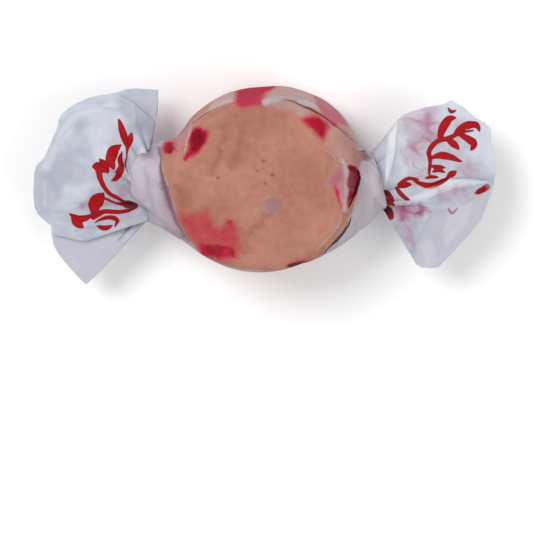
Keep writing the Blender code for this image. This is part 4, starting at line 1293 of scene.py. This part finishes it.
def pulledTaffy():
    # Pulled sugar taffy with cherry pieces: dense and waxy, with a little light going into it
    material, tree = newMaterial("pulledTaffy")
    spot = addNode(tree, "ShaderNodeTexCoord").outputs["Object"]
    size, detail = candy["cloud"]
    cloud = addNode(tree, "ShaderNodeTexNoise", None,
                    {"Vector": spot, "Scale": 1 / (size * mm), "Detail": detail}).outputs["Fac"]
    low, high = candy["redRange"]
    red = addNode(tree, "ShaderNodeMapRange", softRange, {0: cloud, 1: low, 2: high}).outputs[0]
    tan, cherry = candy["colors"]
    color = addNode(tree, "ShaderNodeMix", colorMix,
                    {0: red, 6: hexColor(tan), 7: hexColor(cherry)}).outputs[2]
    shader = addNode(tree, "ShaderNodeBsdfPrincipled", None, {"Base Color": color, **candy["surface"]})
    addNode(tree, "ShaderNodeOutputMaterial", None, {"Surface": shader.outputs[0]})
    return material


def dress(piece, material):
    piece.data.materials.clear()
    piece.data.materials.append(material)
    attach(piece, "root")
    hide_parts("wrapper")


dress(makeTube(), waxedPaperOnTaffy())
print("paper round the disc, with its cones and cuffs: done")
tailPaper = waxedPaperLoose()
for name, end, look in (("tailLeft", leftEnd, leftTail), ("tailRight", rightEnd, rightTail)):
    dress(makeTail(name, end, look), tailPaper)
print("tails: done")
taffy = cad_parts["taffy"]
taffy.data.materials.clear()
taffy.data.materials.append(pulledTaffy())
print("taffy: done")

# The view, the light and the table
view = {
    "tilt": 10.0,           # degrees off straight down
    "distance": 350.0,
    "widthAcross": 71.5,    # mm across the frame at the disc's middle
    "aimX": 1.95,
    "aimY": -12.35,
    "clipStart": 10.0,
}
studio = {
    # lamps: (name, place in m, width in m, watts)
    "lamps": (("softboxLeft", (-0.25, 0.25, 0.45), 0.3, 1.85), ("softboxRight", (0.35, -0.1, 0.4), 0.4, 0.8)),
    "worldColor": "#ffffff",
    "worldStrength": 0.58,
    "tableWidth": 1.2,      # m
    "tableColor": "#fdfdfd",
    "tableRoughness": 0.8,
}


def makeCamera():
    tilt = math.radians(view["tilt"])
    back = Vector((0.0, math.sin(tilt), math.cos(tilt)))
    up = Vector((0.0, math.cos(tilt), -math.sin(tilt)))
    right = Vector((1.0, 0.0, 0.0))
    aim = Vector((0.0, 0.0, axisZ)) + right * view["aimX"] + up * view["aimY"]
    data = bpy.data.cameras.new("camera")
    data.lens = data.sensor_width * view["distance"] / view["widthAcross"]
    data.clip_start = view["clipStart"] * mm
    camera = bpy.data.objects.new("camera", data)
    bpy.context.scene.collection.objects.link(camera)
    turned = Matrix((right, up, back)).transposed().to_4x4()
    camera.matrix_world = Matrix.Translation((aim + back * view["distance"]) * mm) @ turned
    bpy.context.scene.camera = camera


def makeLamp(name, place, width, power):
    data = bpy.data.lights.new(name, "AREA")
    data.shape = "DISK"
    data.size = width
    data.energy = power
    lamp = bpy.data.objects.new(name, data)
    bpy.context.scene.collection.objects.link(lamp)
    lamp.location = place
    lamp.rotation_euler = (-Vector(place)).to_track_quat("-Z", "Y").to_euler()


def makeTable():
    bpy.ops.object.select_all(action="DESELECT")
    bpy.ops.mesh.primitive_plane_add(size=studio["tableWidth"], location=(0, 0, 0))
    table = bpy.context.object
    table.name = "table"
    material, tree = newMaterial("plainTable")
    shader = addNode(tree, "ShaderNodeBsdfPrincipled", None,
                     {"Base Color": hexColor(studio["tableColor"]), "Roughness": studio["tableRoughness"]})
    addNode(tree, "ShaderNodeOutputMaterial", None, {"Surface": shader.outputs[0]})
    table.data.materials.append(material)


def makeWorld():
    world = bpy.data.worlds.new("studio")
    world.use_nodes = True
    background = world.node_tree.nodes["Background"]
    background.inputs["Color"].default_value = hexColor(studio["worldColor"])
    background.inputs["Strength"].default_value = studio["worldStrength"]
    bpy.context.scene.world = world


makeCamera()
for lampValues in studio["lamps"]:
    makeLamp(*lampValues)
makeTable()
makeWorld()
bpy.context.scene.view_settings.view_transform = "Standard"
print("camera, light and table: done")
